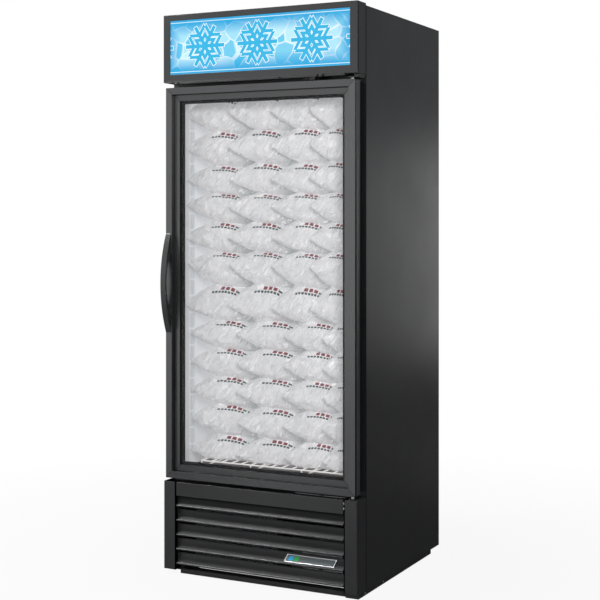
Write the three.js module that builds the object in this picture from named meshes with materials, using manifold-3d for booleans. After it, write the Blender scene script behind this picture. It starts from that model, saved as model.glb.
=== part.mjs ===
// Ice merchandiser freezer: an upright freezer cabinet with one glazed door, a lit sign header above
// it and a louvred machine compartment below. Millimetres, +Z up, front towards -Y, and the origin
// under the middle of the whole object, handle included, on the floor. A "depth" is measured back
// from the face of header and door.
import * as THREE from "three";
import { mergeVertices } from "three/addons/utils/BufferGeometryUtils.js";
import Module from "manifold-3d";

const wasm = await Module();
wasm.setup();

// ---- Driving dimensions -------------------------------------------------------------------------
const WIDTH = 762; // across header and side panels
const DEPTH = 759; // header face to back panel, without the handle
const HEIGHT = 1998; // floor to header top
const SHEET = 1; // folded sheet metal
const SEAT = 0.3; // clearance between pieces that seat on each other
const OVERRUN = 10; // how far a cutting solid runs past the face that it opens
const WELD = 1; // overlap of two shapes that are joined
const CURVE_COUNT = 8; // straight pieces in one curve of a section
const ROUND_COUNT = 24; // sides of a round piece
const PIN_COUNT = 20; // sides of a hinge pin and what fits it
const SHAFT_COUNT = 16; // sides of a shaft, a stem or a small bore
const WIRE_COUNT = 8; // sides of a wire or a pipe
const THROAT_COUNT = 40; // sides of a fan's throat

// cabinet
const FACE_DEPTH = 69; // header, door and corner trims stand this far in front of the cabinet
const BODY_BOTTOM = 18; // underside of side panels, trims and machine tray
const BODY_TOP_DROP = 7; // cabinet top below the header top
const MACHINE_TOP = 322; // ceiling of the machine compartment
const INNER_FLOOR = 373; // floor of the ice compartment
const WALL = 40; // insulated side wall
const BACK_WALL = 60; // insulated back wall
const TOP_WALL = 50; // insulated roof
const OPENING_DROP = 33; // head of the door opening below the door's top
const FLANGE = 15; // front flange of the side panels
const JAMB_RETURN = 40; // depth of the jamb lining behind the cabinet face
const FACE_THICKNESS = 4; // thickness of the face frame

// header and sign
const HEADER_HEIGHT = 241; // header box
const LIP_DROP = 6; // the header's front lip hangs below its box
const LIP_NOTCH = 43; // the lip stops this far from each header end
const LIP_RETURN = 14; // the lip's fold towards the back
const SIGN_MARGIN_SIDE = 28; // header face beside the sign
const SIGN_MARGIN_TOP = 21.5; // header face above the sign
const SIGN_HEIGHT = 192; // visible height of the sign
const SIGN_OVERLAP = 6; // hidden edge of the sign panel behind the header face
const SIGN_THICKNESS = 3;
const LAMP_DEPTH = 40; // front of the sign's lamp board
const LAMP_BOARD_HEIGHT = 24;
const LAMP_BOARD_THICKNESS = 2;
const LAMP_CHANNEL_HEIGHT = 30;

// lower front
const LOWER_TOP = 331; // top of grille and corner trims
const TRIM_WIDTH = 50; // face of a corner trim
const TRIM_RETURN = 40; // depth of a trim's inner return
const TRIM_ROUND = 5; // outer radius of a trim's fold
const BEND_COUNT = 6; // facets of a folded corner
const GRILLE_GAP = 2; // between the grille's face and the trims
const GRILLE_BAND = 48; // flat band at the top of the grille
const GRILLE_RETURN = 30; // depth of the grille's folds and cheeks
const CHEEK_FRONT = 10; // front of a grille cheek
const CHEEK_THICKNESS = 4;
const LOUVRE_COUNT = 5;
const LOUVRE_PITCH = 51.4;
const LOUVRE_LOWEST = 41; // height of the lowest louvre nose
const LOUVRE_DEPTH = 24; // face to the top of a blade
const LOUVRE_RISE = 36; // nose to the top of a blade
const LOUVRE_THICKNESS = 3;
const LOUVRE_HOLLOW = 1.5; // pull of a blade's curve back from its chord
const NOSE_RADIUS = 3.5;
const BADGE_LENGTH = 187;
const BADGE_HEIGHT = 28; // along the slope of the louvre
const BADGE_SLANT = 7; // lean of its ends
const BADGE_THICKNESS = 1.6;
const BADGE_RIGHT = 87.5; // badge end to the cabinet's right side
const BADGE_LOUVRE = 1; // the louvre it lies on, counted up from the lowest as 0

// base
const BASE_BOTTOM = 1.5; // base frame above the floor when the feet are wound in
const BASE_INSET = 2; // base frame inside the side panels
const BASE_RAIL = 48; // width of a side rail
const BASE_CROSS = 40; // depth of the front and rear cross rails
const BASE_FRONT = 23; // front of the front cross rail
const BASE_RIGHT_FRONT = 12; // the right rail reaches nearly to the front
const BASE_LEFT_FRONT = 62; // the left rail stops behind its trim
const BASE_LEFT_GAP = 7; // front cross rail to the left rail, seen from the front
const BASE_REAR = 678; // rear end of the base frame
const BASE_GUSSET = 34; // corner plate that joins the left rail and the front cross rail
const FOOT_RADIUS = 18;
const FOOT_PAD = 7; // thickness of a foot's pad
const FOOT_STEM_RADIUS = 5;
const FOOT_STEM = 45; // threaded stem above the pad
const FOOT_FRONT = 90; // depth of the front feet
const FOOT_REAR = 640; // depth of the rear feet
const FOOT_WELL_GAP = 1; // between a foot's pad and its well in the rail

// door
const DOOR_SIDE_INSET = 9.5; // door edge inside the header's end
const DOOR_BOTTOM = 344;
const DOOR_DROP = 19; // door's top below the header box
const LIP_WIDTH = 24; // raised outer lip of the door frame
const BEAD_WIDTH = 23; // glazing bead beside the lip
const BEAD_DEPTH = 18; // bead face behind the lip face
const BEAD_THICKNESS = 4;
const BEAD_COVER = 12.5; // how far the bead covers the glass edge
const FRAME_DEPTH = 41.5; // front of the lip to the back of the frame
const FRAME_WALL = 2.5;
const GROOVE_FRONT = 4.5; // groove along the outer edge of the frame
const GROOVE_WIDTH = 10;
const GROOVE_DEPTH = 3;
const GLASS = 4; // one pane
const SPACER_SIGHT = 10; // spacer bar that shows beside the bead
const CARRIER_DEPTH = 10; // gasket carrier behind the frame
const CARRIER_INSET = 11.5; // carrier inside the door's outline
const CARRIER_SETBACK = 2; // carrier behind the bead's inner edge
const GASKET_WIDTH = 16;
const GASKET_INSET = 15.5; // gasket inside the door's outline

// hinges
const HINGE_INSET = 17.5; // pin from the door's right edge
const HINGE_DEPTH = 20.5; // pin behind the door's face
const PIN_RADIUS = 3.2;
const BUSH_WALL = 1.5;
const BUSH_IN_DOOR = 9; // bush length inside the door frame
const BRACKET_WIDTH = 36;
const BRACKET_FRONT = 6; // front edge of a bracket
const BRACKET_THICKNESS = 3;
const BRACKET_LEG = 20; // leg against the cabinet face
const TOP_PLATE_DROP = 13; // top bracket's underside below the header box
const BLOCK_WIDTH = 19; // packing block between the top bracket and the header
const BLOCK_LENGTH = 50;

// handle
const HANDLE_LENGTH = 354;
const HANDLE_REACH = 37; // bow in front of the door face
const HANDLE_WIDTH = 21;
const HANDLE_THICKNESS = 8;
const HANDLE_FINGER = 222; // length of the finger opening
const HANDLE_FLANGE = 14; // flange on the bead at its widest
const HANDLE_WEB = 2.5; // webs and flange
const HANDLE_WEB_INSET = 11; // webs stop this far from the handle's tips
const HANDLE_FINGER_LAND = 6; // webs stop this far from the finger opening

// machine compartment
const TRAY_FRONT = 72;
const TRAY_REAR = 745;
const TRAY_THICKNESS = 3;
const CONDENSER_FRONT = 82;
const CONDENSER_CORE = 46; // depth of the finned core
const CONDENSER_WIDTH = 330;
const CONDENSER_HEIGHT = 250;
const CONDENSER_LEFT = 85; // core from the cabinet's left side
const CONDENSER_ROWS = 5; // return bends at the core's end
const CONDENSER_FINS = 22;
const CONDENSER_BEND = 14; // how far a return bend stands out
const FAN_RADIUS = 105;
const FAN_HUB = 22;
const FAN_TIP_GAP = 6;
const FAN_DEPTH = 22;
const FAN_BEHIND = 6; // fan behind the shroud plate's front
const BLADE_COUNT = 5;
const BLADE_THICKNESS = 2;
const BLADE_PITCH = 0.5; // blade angle in radians
const BLADE_CHORD = 0.62; // blade width as a share of the fan's radius
const SHROUD_RING = 34; // length of the ring round the fan
const SHROUD_WALL = 3;
const MOTOR_ARM = 18; // width of the arm that holds the motor
const MOTOR_RADIUS = 32;
const MOTOR_LENGTH = 55;
const SHAFT_RADIUS = 4;
const COMPRESSOR_RADIUS = 84;
const COMPRESSOR_HEIGHT = 185;
const COMPRESSOR_WALL = 6;
const COMPRESSOR_FOOT = 196; // side of its square foot plate
const COMPRESSOR_LEFT = 190; // axis from the cabinet's left side
const COMPRESSOR_DEPTH = 470;
const PIPE_RADIUS = 5;
const PIPE_RUN = 60; // a pipe's first straight stretch
const DRIER_RADIUS = 11;
const DRIER_LENGTH = 110;
const LINE_RIGHT = 300; // liquid line from the cabinet's right side
const LINE_REAR = 560; // depth where the liquid line rises
const CONTROL_RIGHT = 95; // control box from the cabinet's right side
const CONTROL_WIDTH = 150;
const CONTROL_HEIGHT = 120;
const CONTROL_FRONT = 86;
const CONTROL_DEPTH = 110;
const CONTROL_WALL = 2;
const DIAL_RADIUS = 17;
const DIAL_DEPTH = 14;
const DIAL_SPINDLE = 3;
const VENT_COUNT = 9; // air slots in the rear cover
const VENT_HEIGHT = 7;
const VENT_PITCH = 20;
const VENT_LENGTH = 380;
const VENT_TOP = 50; // uppermost slot below the compartment's ceiling
const VENT_LEFT = 141; // slots from the cabinet's left side
const GLAND_RADIUS = 12;
const GLAND_BORE = 5;
const GLAND_COLLAR = 4; // how far the collar stands out
const GLAND_LENGTH = 16;
const GLAND_RIGHT = 131; // gland from the cabinet's right side
const GLAND_HEIGHT = 120;

// ice compartment
const EVAPORATOR_DROP = 177; // cover below the ceiling
const EVAPORATOR_WIDTH = 600;
const EVAPORATOR_FRONT = 190;
const EVAPORATOR_LENGTH = 420;
const EVAPORATOR_COIL_WIDTH = 540;
const EVAPORATOR_COIL_LENGTH = 220;
const EVAPORATOR_COIL_HEIGHT = 150;
const EVAPORATOR_COIL_BACK = 60; // coil in front of the cover's rear wall
const EVAPORATOR_FINS = 27;
const FIN_THICKNESS = 2; // a fin of either coil
const FIN_SPINE = 6; // the tubes' layer that carries the fins
const EVAPORATOR_FAN_RADIUS = 66;
const EVAPORATOR_FAN_GAP = 5;
const EVAPORATOR_FAN_DEPTH = 16;
const EVAPORATOR_HUB = 14;
const EVAPORATOR_MOTOR_RADIUS = 26;
const EVAPORATOR_MOTOR_LENGTH = 48;
const RACK_HEIGHT = 27; // top of the floor rack above the floor
const RACK_WIRE = 2.5; // wire radius
const RACK_LEFT = 64; // rack to the left liner
const RACK_RIGHT = 13; // rack to the right liner
const RACK_REAR = 25; // rack in front of the rear liner
const RACK_FRONT = -18; // rack behind the jamb lining, whose sill it stands on
const RACK_WIRE_COUNT = 16; // wires from front to back
const RACK_RUNNER_COUNT = 4; // runners on the floor, with a leg at each end
const LED_WIDTH = 11;
const LED_DEPTH = 16;
const LED_FRONT = 3; // behind the jamb lining
const LED_BOTTOM = 57; // above the compartment's floor
const LED_TOP = 45; // below the head of the opening

// ---- Derived places -----------------------------------------------------------------------------
const HALF = WIDTH / 2;
const FRONT = HANDLE_REACH - (DEPTH + HANDLE_REACH) / 2; // y of the header's face
const BODY_TOP = HEIGHT - BODY_TOP_DROP;
const HEADER_BOTTOM = HEIGHT - HEADER_HEIGHT;
const LIP_BOTTOM = HEADER_BOTTOM - LIP_DROP;
const DOOR_TOP = HEADER_BOTTOM - DOOR_DROP;
const OPENING_TOP = DOOR_TOP - OPENING_DROP;
const HANDLE_HEIGHT = (DOOR_BOTTOM + DOOR_TOP) / 2; // middle of the handle
const SHELL_TOP = BODY_TOP - SHEET - SEAT; // under the top panel
const SHELL_BACK = DEPTH - SHEET - SEAT; // in front of the back panel
const INNER_HALF = HALF - WALL; // inner face of the side liners
const LINER_OUT = INNER_HALF + SHEET;
const CAVITY_BACK = DEPTH - BACK_WALL;
const CEILING = BODY_TOP - TOP_WALL; // inner face of the ceiling liner
const INNER_FRONT = FACE_DEPTH + JAMB_RETURN; // back end of the jamb lining
const PANEL_FRONT = FACE_DEPTH - SEAT; // rear end of what stands in front of the cabinet
const SIGN_HALF = HALF - SIGN_MARGIN_SIDE;
const SIGN_TOP = HEIGHT - SIGN_MARGIN_TOP;
const SIGN_BOTTOM = SIGN_TOP - SIGN_HEIGHT;
const SIGN_MIDDLE = (SIGN_TOP + SIGN_BOTTOM) / 2;
const GRILLE_HALF = HALF - TRIM_WIDTH - GRILLE_GAP;
const BASE_TOP = BODY_BOTTOM - SEAT;
const BASE_HALF = HALF - BASE_INSET;
const BASE_INNER = BASE_HALF - BASE_RAIL;
const FOOT_X = BASE_HALF - BASE_RAIL / 2;
const TRAY_TOP = BODY_BOTTOM + TRAY_THICKNESS;
const TRAY_SEAT = TRAY_TOP + SEAT;
const DOOR_HALF = HALF - DOOR_SIDE_INSET;
const DOOR_WIDTH = 2 * DOOR_HALF;
const DOOR_HEIGHT = DOOR_TOP - DOOR_BOTTOM;
const SECTION_WIDTH = LIP_WIDTH + BEAD_WIDTH;
const BEAD_BACK = BEAD_DEPTH + BEAD_THICKNESS;
const REBATE_EDGE = SECTION_WIDTH - BEAD_COVER;
const GLASS_INSET = REBATE_EDGE + SEAT; // glass edge inside the door's outline
const OUTER_GLASS = BEAD_BACK + SEAT;
const INNER_GLASS = FRAME_DEPTH - GLASS;
const HINGE_X = DOOR_HALF - HINGE_INSET;
const BUSH_BORE = PIN_RADIUS + SEAT;
const BUSH_RADIUS = BUSH_BORE + BUSH_WALL;
const CONDENSER_X0 = -HALF + CONDENSER_LEFT;
const CONDENSER_X1 = CONDENSER_X0 + CONDENSER_WIDTH;
const CONDENSER_TOP = TRAY_SEAT + CONDENSER_HEIGHT;
const CONDENSER_BACK = CONDENSER_FRONT + CONDENSER_CORE;
const FAN_X = (CONDENSER_X0 + CONDENSER_X1) / 2;
const FAN_Z = (TRAY_SEAT + CONDENSER_TOP) / 2;
const SHROUD_FRONT = CONDENSER_BACK + SEAT;
const SHROUD_BACK = SHROUD_FRONT + SHROUD_RING;
const FAN_FRONT = SHROUD_FRONT + FAN_BEHIND;
const COMPRESSOR_X = -HALF + COMPRESSOR_LEFT;
const COMPRESSOR_TOP = TRAY_SEAT + COMPRESSOR_HEIGHT;
const CONTROL_X1 = HALF - CONTROL_RIGHT;
const CONTROL_X0 = CONTROL_X1 - CONTROL_WIDTH;
const CONTROL_X = (CONTROL_X0 + CONTROL_X1) / 2;
const CONTROL_TOP = TRAY_SEAT + CONTROL_HEIGHT;
const DIAL_Z = (TRAY_SEAT + CONTROL_TOP) / 2;
const GLAND_X = HALF - GLAND_RIGHT;
const COVER_TOP = CEILING - SEAT; // top of the evaporator's cover
const COVER_BOTTOM = CEILING - EVAPORATOR_DROP;
const COVER_HALF = EVAPORATOR_WIDTH / 2;
const COVER_BACK = EVAPORATOR_FRONT + EVAPORATOR_LENGTH;
const COVER_SEAT = COVER_BOTTOM + SHEET + SEAT;
const COVER_FAN_Z = (COVER_BOTTOM + COVER_TOP) / 2;
const COVER_FAN_FRONT = EVAPORATOR_FRONT + SHEET + EVAPORATOR_FAN_GAP;

// ---- Finishes -----------------------------------------------------------------------------------
const finish = (color, roughness, metalness) => () =>
  new THREE.MeshStandardMaterial({ color, roughness, metalness });
const blackPaint = finish(0x17181a, 0.42, 0.2);
const blackFrame = finish(0x1b1c1e, 0.38, 0.3);
const blackPlastic = finish(0x141415, 0.55, 0);
const whiteLiner = finish(0xdfe3e6, 0.45, 0.1);
const greySteel = finish(0x9a9ca0, 0.4, 0.8);
const galvanised = finish(0x8e9398, 0.45, 0.8);
const foam = finish(0xd9c58c, 0.9, 0);
const clearGlass = finish(0xe8f2f4, 0.05, 0);
const signBlue = finish(0x2fb0ea, 0.3, 0);
const whiteNylon = finish(0xf0f0ec, 0.5, 0);
const rubberBlack = finish(0x101011, 0.85, 0);
const copper = finish(0xb87333, 0.35, 0.9);
const finAluminium = finish(0xa9adb1, 0.5, 0.8);
const whiteWire = finish(0xf2f3f2, 0.35, 0.1);
const silver = finish(0xb9bcc0, 0.3, 0.8);

// ---- Solid helpers ------------------------------------------------------------------------------
// A geometry as a solid for joining and cutting.
function solid(geometry) {
  const bare = new THREE.BufferGeometry();
  bare.setAttribute("position", geometry.getAttribute("position").clone());
  if (geometry.index) bare.setIndex(geometry.index.clone());
  const merged = mergeVertices(bare, 1e-4);
  return new wasm.Manifold(
    new wasm.Mesh({
      numProp: 3,
      vertProperties: new Float32Array(merged.attributes.position.array),
      triVerts: new Uint32Array(merged.index.array),
    }),
  );
}

function geometryOf(body) {
  const mesh = body.getMesh();
  const geometry = new THREE.BufferGeometry();
  geometry.setAttribute("position", new THREE.BufferAttribute(mesh.vertProperties, 3));
  geometry.setIndex(new THREE.BufferAttribute(mesh.triVerts, 1));
  return geometry;
}

const join = (...parts) => geometryOf(parts.map(solid).reduce((a, b) => a.add(b)));
const cut = (whole, ...tools) =>
  geometryOf(tools.map(solid).reduce((a, b) => a.subtract(b), solid(whole)));

// A box between two corners: x, depth and z ranges.
function box(x0, x1, d0, d1, z0, z1) {
  const geometry = new THREE.BoxGeometry(x1 - x0, d1 - d0, z1 - z0);
  return geometry.translate((x0 + x1) / 2, FRONT + (d0 + d1) / 2, (z0 + z1) / 2);
}

const ordered = (a, b) => (a < b ? [a, b] : [b, a]);

function shapeOf(points, holes = []) {
  const shape = new THREE.Shape(points.map(([a, b]) => new THREE.Vector2(a, b)));
  shape.holes = holes.map((hole) => new THREE.Path(hole.map(([a, b]) => new THREE.Vector2(a, b))));
  return shape;
}

const extrude = (shape, depth) =>
  new THREE.ExtrudeGeometry(shape, { depth, bevelEnabled: false, curveSegments: CURVE_COUNT });

function basis(x, y, z) {
  const columns = [x, y, z].map((column) => new THREE.Vector3(...column));
  return new THREE.Matrix4().makeBasis(...columns);
}

// A plan of [x, depth] points carried up from z0 to z1.
function uprightFrom(points, z0, z1) {
  const plan = shapeOf(points.map(([x, d]) => [x, FRONT + d]));
  return extrude(plan, z1 - z0).translate(0, 0, z0);
}

// A side view in [depth, z] carried across from x0 to x1.
function acrossFrom(shape, x0, x1) {
  const geometry = extrude(shape, x1 - x0);
  geometry.applyMatrix4(basis([0, 1, 0], [0, 0, 1], [1, 0, 0]));
  return geometry.translate(x0, FRONT, 0);
}

// A front view in [x, z] carried back from depth d0 to d1.
function backFrom(shape, d0, d1) {
  const geometry = extrude(shape, d1 - d0);
  geometry.applyMatrix4(basis([1, 0, 0], [0, 0, 1], [0, -1, 0]));
  return geometry.translate(0, FRONT + d1, 0);
}

// A flat ring in the front view between two rectangles, each as x0, x1, z0, z1.
function ring(outer, inner) {
  const corners = ([x0, x1, z0, z1]) => [
    [x0, z0],
    [x1, z0],
    [x1, z1],
    [x0, z1],
  ];
  return shapeOf(corners(outer), [corners(inner)]);
}

// A cylinder with its axis along x, y or z and its middle at [x, depth, z].
function rod(axis, radius, length, [x, d, z], sides = ROUND_COUNT) {
  const geometry = new THREE.CylinderGeometry(radius, radius, length, sides);
  if (axis === "z") geometry.rotateX(Math.PI / 2);
  if (axis === "x") geometry.rotateZ(Math.PI / 2);
  return geometry.translate(x, FRONT + d, z);
}

// A rod along y from depth d0 to d1.
const rodBack = (radius, d0, d1, x, z, sides = ROUND_COUNT) =>
  rod("y", radius, d1 - d0, [x, (d0 + d1) / 2, z], sides);

// A round pipe along a smooth curve through [x, depth, z] points.
function pipe(points, radius, steps) {
  const route = points.map(([x, d, z]) => new THREE.Vector3(x, FRONT + d, z));
  const extrudePath = new THREE.CatmullRomCurve3(route, false, "centripetal");
  const section = [...Array(WIRE_COUNT).keys()].map((i) => {
    const turn = (2 * Math.PI * i) / WIRE_COUNT;
    return [radius * Math.cos(turn), radius * Math.sin(turn)];
  });
  return new THREE.ExtrudeGeometry(shapeOf(section), { steps, extrudePath, bevelEnabled: false });
}

// ---- Scene graph --------------------------------------------------------------------------------
const freezer = new THREE.Group();
const cabinet = new THREE.Group();
const door = new THREE.Group();
freezer.add(cabinet, door);

function add(group, name, geometry, material) {
  const mesh = new THREE.Mesh(geometry, material());
  mesh.name = name;
  group.add(mesh);
}

// ---- Outer shell --------------------------------------------------------------------------------
// A side panel with a flange folded in along its front edge.
function sidePanel(side) {
  const at = (inset, depth) => [side * (HALF - inset), depth];
  const plan = [
    at(0, FACE_DEPTH),
    at(0, SHELL_BACK),
    at(SHEET, SHELL_BACK),
    at(SHEET, FACE_DEPTH + SHEET),
    at(FLANGE, FACE_DEPTH + SHEET),
    at(FLANGE, FACE_DEPTH),
  ];
  return uprightFrom(plan, BODY_BOTTOM, SHELL_TOP);
}

function outerShell() {
  add(cabinet, "side_panel_left", sidePanel(-1), blackPaint);
  add(cabinet, "side_panel_right", sidePanel(1), blackPaint);
  const top = box(-HALF, HALF, FACE_DEPTH, DEPTH, BODY_TOP - SHEET, BODY_TOP);
  add(cabinet, "top_panel", top, blackPaint);
  const back = box(-HALF, HALF, DEPTH - SHEET, DEPTH, MACHINE_TOP, SHELL_TOP);
  add(cabinet, "back_panel", back, galvanised);
}

// The rear cover of the machine compartment, with air slots, and the cord gland in its hole.
function rearCover() {
  const ventLeft = -HALF + VENT_LEFT;
  const vents = [...Array(VENT_COUNT).keys()].map((i) => {
    const z = MACHINE_TOP - VENT_TOP - i * VENT_PITCH;
    const through = [DEPTH - OVERRUN, DEPTH + OVERRUN];
    return box(ventLeft, ventLeft + VENT_LENGTH, ...through, z, z + VENT_HEIGHT);
  });
  const glandHole = rodBack(
    GLAND_RADIUS + SEAT,
    DEPTH - OVERRUN,
    DEPTH + OVERRUN,
    GLAND_X,
    GLAND_HEIGHT,
  );
  const sheet = box(-HALF, HALF, DEPTH - SHEET, DEPTH, BODY_BOTTOM, MACHINE_TOP - SEAT);
  add(cabinet, "rear_cover", cut(sheet, ...vents, glandHole), galvanised);

  const front = DEPTH - GLAND_LENGTH;
  const place = [GLAND_X, GLAND_HEIGHT];
  const sleeve = rodBack(GLAND_RADIUS, front, DEPTH, ...place);
  const collar = rodBack(GLAND_RADIUS + GLAND_COLLAR, front, SHELL_BACK, ...place);
  const bore = rodBack(GLAND_BORE, front - OVERRUN, DEPTH + OVERRUN, ...place, SHAFT_COUNT);
  add(cabinet, "cord_gland", cut(join(sleeve, collar), bore), blackPlastic);
}

// ---- Insulation and liner -----------------------------------------------------------------------
function insulation() {
  const outer = HALF - SHEET - SEAT;
  const inner = LINER_OUT + SEAT;
  const front = FACE_DEPTH + FACE_THICKNESS + SEAT;
  const roof = CEILING + SHEET + SEAT;
  const sideTop = roof - SEAT;
  const between = inner - SEAT;
  const backFront = CAVITY_BACK + SHEET + SEAT;
  const floorTop = INNER_FLOOR - SHEET - 2 * SEAT;
  const slabs = {
    insulation_left: [-outer, -inner, front, SHELL_BACK, MACHINE_TOP, sideTop],
    insulation_right: [inner, outer, front, SHELL_BACK, MACHINE_TOP, sideTop],
    insulation_back: [-between, between, backFront, SHELL_BACK, MACHINE_TOP, sideTop],
    insulation_floor: [-between, between, front, backFront - SEAT, MACHINE_TOP, floorTop],
    insulation_top: [-outer, outer, front, SHELL_BACK, roof, SHELL_TOP],
  };
  for (const [name, range] of Object.entries(slabs)) add(cabinet, name, box(...range), foam);
}

function liner() {
  const front = INNER_FRONT + SEAT;
  const back = CAVITY_BACK;
  const wallTop = CEILING - SEAT;
  const floorTop = INNER_FLOOR - SEAT;
  const sheets = {
    liner_left: [-LINER_OUT, -INNER_HALF, front, back - SEAT, INNER_FLOOR, wallTop],
    liner_right: [INNER_HALF, LINER_OUT, front, back - SEAT, INNER_FLOOR, wallTop],
    liner_back: [-LINER_OUT, LINER_OUT, back, back + SHEET, INNER_FLOOR, wallTop],
    liner_ceiling: [-LINER_OUT, LINER_OUT, front, back + SHEET, CEILING, CEILING + SHEET],
    liner_floor: [-LINER_OUT, LINER_OUT, front, back + SHEET, floorTop - SHEET, floorTop],
  };
  for (const [name, range] of Object.entries(sheets)) {
    add(cabinet, name, box(...range), name === "liner_floor" ? greySteel : whiteLiner);
  }
}

// The cabinet's face round the door opening, with the jamb lining, and the insulated wall above the
// opening behind it.
function openingFrame() {
  const half = HALF - FLANGE - SEAT;
  const opening = [-INNER_HALF, INNER_HALF, INNER_FLOOR, OPENING_TOP];
  const face = ring([-half, half, MACHINE_TOP, SHELL_TOP], opening);
  const liningOuter = [-LINER_OUT, LINER_OUT, INNER_FLOOR - SHEET, OPENING_TOP + SHEET];
  const lining = backFrom(ring(liningOuter, opening), FACE_DEPTH + WELD, INNER_FRONT);
  const frame = join(backFrom(face, FACE_DEPTH, FACE_DEPTH + FACE_THICKNESS), lining);
  add(cabinet, "face_frame", frame, blackPlastic);

  const wallFront = FACE_DEPTH + FACE_THICKNESS + SEAT;
  const wallBottom = OPENING_TOP + SHEET + SEAT;
  const wall = box(-LINER_OUT, LINER_OUT, wallFront, INNER_FRONT, wallBottom, CEILING + SHEET);
  add(cabinet, "upper_front_wall", wall, whiteLiner);
}

// ---- Header and sign ----------------------------------------------------------------------------
function header() {
  const shell = box(-HALF, HALF, 0, PANEL_FRONT, HEADER_BOTTOM, HEIGHT);
  const hollowHalf = HALF - SHEET;
  const hollow = box(
    -hollowHalf,
    hollowHalf,
    SHEET,
    PANEL_FRONT + OVERRUN,
    HEADER_BOTTOM + SHEET,
    HEIGHT - SHEET,
  );
  const window = box(-SIGN_HALF, SIGN_HALF, -OVERRUN, OVERRUN, SIGN_BOTTOM, SIGN_TOP);
  const lipHalf = HALF - LIP_NOTCH;
  const lip = box(-lipHalf, lipHalf, 0, SHEET, LIP_BOTTOM, HEADER_BOTTOM + WELD);
  const lipReturn = box(-lipHalf, lipHalf, 0, LIP_RETURN, LIP_BOTTOM, LIP_BOTTOM + SHEET);
  add(cabinet, "header_frame", join(cut(shell, hollow, window), lip, lipReturn), blackPaint);
}

function sign() {
  const half = SIGN_HALF + SIGN_OVERLAP;
  const front = SHEET + SEAT;
  const panel = box(
    -half,
    half,
    front,
    front + SIGN_THICKNESS,
    SIGN_BOTTOM - SIGN_OVERLAP,
    SIGN_TOP + SIGN_OVERLAP,
  );
  add(cabinet, "sign_panel", panel, signBlue);

  const bar = (d0, d1, height) =>
    box(-SIGN_HALF, SIGN_HALF, d0, d1, SIGN_MIDDLE - height / 2, SIGN_MIDDLE + height / 2);
  const boardBack = LAMP_DEPTH + LAMP_BOARD_THICKNESS;
  const board = bar(LAMP_DEPTH, boardBack + WELD, LAMP_BOARD_HEIGHT);
  const channel = bar(boardBack, PANEL_FRONT, LAMP_CHANNEL_HEIGHT);
  add(cabinet, "sign_lamp", join(board, channel), whiteLiner);
}

// ---- Lower front --------------------------------------------------------------------------------
// A corner trim: face, side return round a fold, and a shorter inner return.
function cornerTrim(side) {
  const at = (inset, depth) => [side * (HALF - inset), depth];
  const fold = (radius) =>
    [...Array(BEND_COUNT + 1).keys()].map((i) => {
      const turn = ((i / BEND_COUNT) * Math.PI) / 2;
      return at(TRIM_ROUND - radius * Math.cos(turn), TRIM_ROUND - radius * Math.sin(turn));
    });
  const plan = [
    at(0, PANEL_FRONT),
    at(SHEET, PANEL_FRONT),
    ...fold(TRIM_ROUND - SHEET),
    at(TRIM_WIDTH - SHEET, SHEET),
    at(TRIM_WIDTH - SHEET, TRIM_RETURN),
    at(TRIM_WIDTH, TRIM_RETURN),
    at(TRIM_WIDTH, 0),
    ...fold(TRIM_ROUND).reverse(),
  ];
  return uprightFrom(plan, BODY_BOTTOM, LOWER_TOP);
}

// One louvre blade in the side view: it slopes forward, slightly hollow, to a round nose.
function louvreShape(nose) {
  const top = nose + LOUVRE_RISE;
  const back = LOUVRE_DEPTH + LOUVRE_THICKNESS;
  const shape = new THREE.Shape();
  // a curve to a point, pulled backwards and down from its chord
  const hollow = (x, z) => {
    const from = shape.currentPoint;
    const across = new THREE.Vector2(Math.abs(z - from.y), -Math.abs(x - from.x));
    across.setLength(LOUVRE_HOLLOW);
    const middle = new THREE.Vector2((x + from.x) / 2, (z + from.y) / 2).add(across);
    shape.quadraticCurveTo(middle.x, middle.y, x, z);
  };
  shape.moveTo(back, top);
  shape.lineTo(LOUVRE_DEPTH, top);
  hollow(NOSE_RADIUS, nose + NOSE_RADIUS);
  shape.absarc(NOSE_RADIUS, nose, NOSE_RADIUS, Math.PI / 2, (3 * Math.PI) / 2, false);
  shape.lineTo(2 * NOSE_RADIUS, nose - NOSE_RADIUS);
  shape.lineTo(2 * NOSE_RADIUS, nose);
  hollow(back, top);
  return shape;
}

function frontGrille() {
  const bandBottom = LOWER_TOP - GRILLE_BAND;
  const cheekOuter = HALF - TRIM_WIDTH - SEAT;
  const cheek = (side) =>
    box(
      ...ordered(side * (cheekOuter - CHEEK_THICKNESS), side * cheekOuter),
      CHEEK_FRONT,
      GRILLE_RETURN,
      LOUVRE_LOWEST,
      LOWER_TOP,
    );
  const band = (d1, z0, z1) => box(-GRILLE_HALF, GRILLE_HALF, 0, d1, z0, z1);
  const louvres = [...Array(LOUVRE_COUNT).keys()].map((i) => {
    const nose = LOUVRE_LOWEST + i * LOUVRE_PITCH;
    return acrossFrom(louvreShape(nose), -GRILLE_HALF, GRILLE_HALF);
  });
  const grille = join(
    band(SHEET, bandBottom, LOWER_TOP),
    band(GRILLE_RETURN, LOWER_TOP - SHEET, LOWER_TOP),
    band(GRILLE_RETURN, bandBottom, bandBottom + SHEET),
    cheek(-1),
    cheek(1),
    ...louvres,
  );
  add(cabinet, "front_grille", grille, blackPaint);
}

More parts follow.
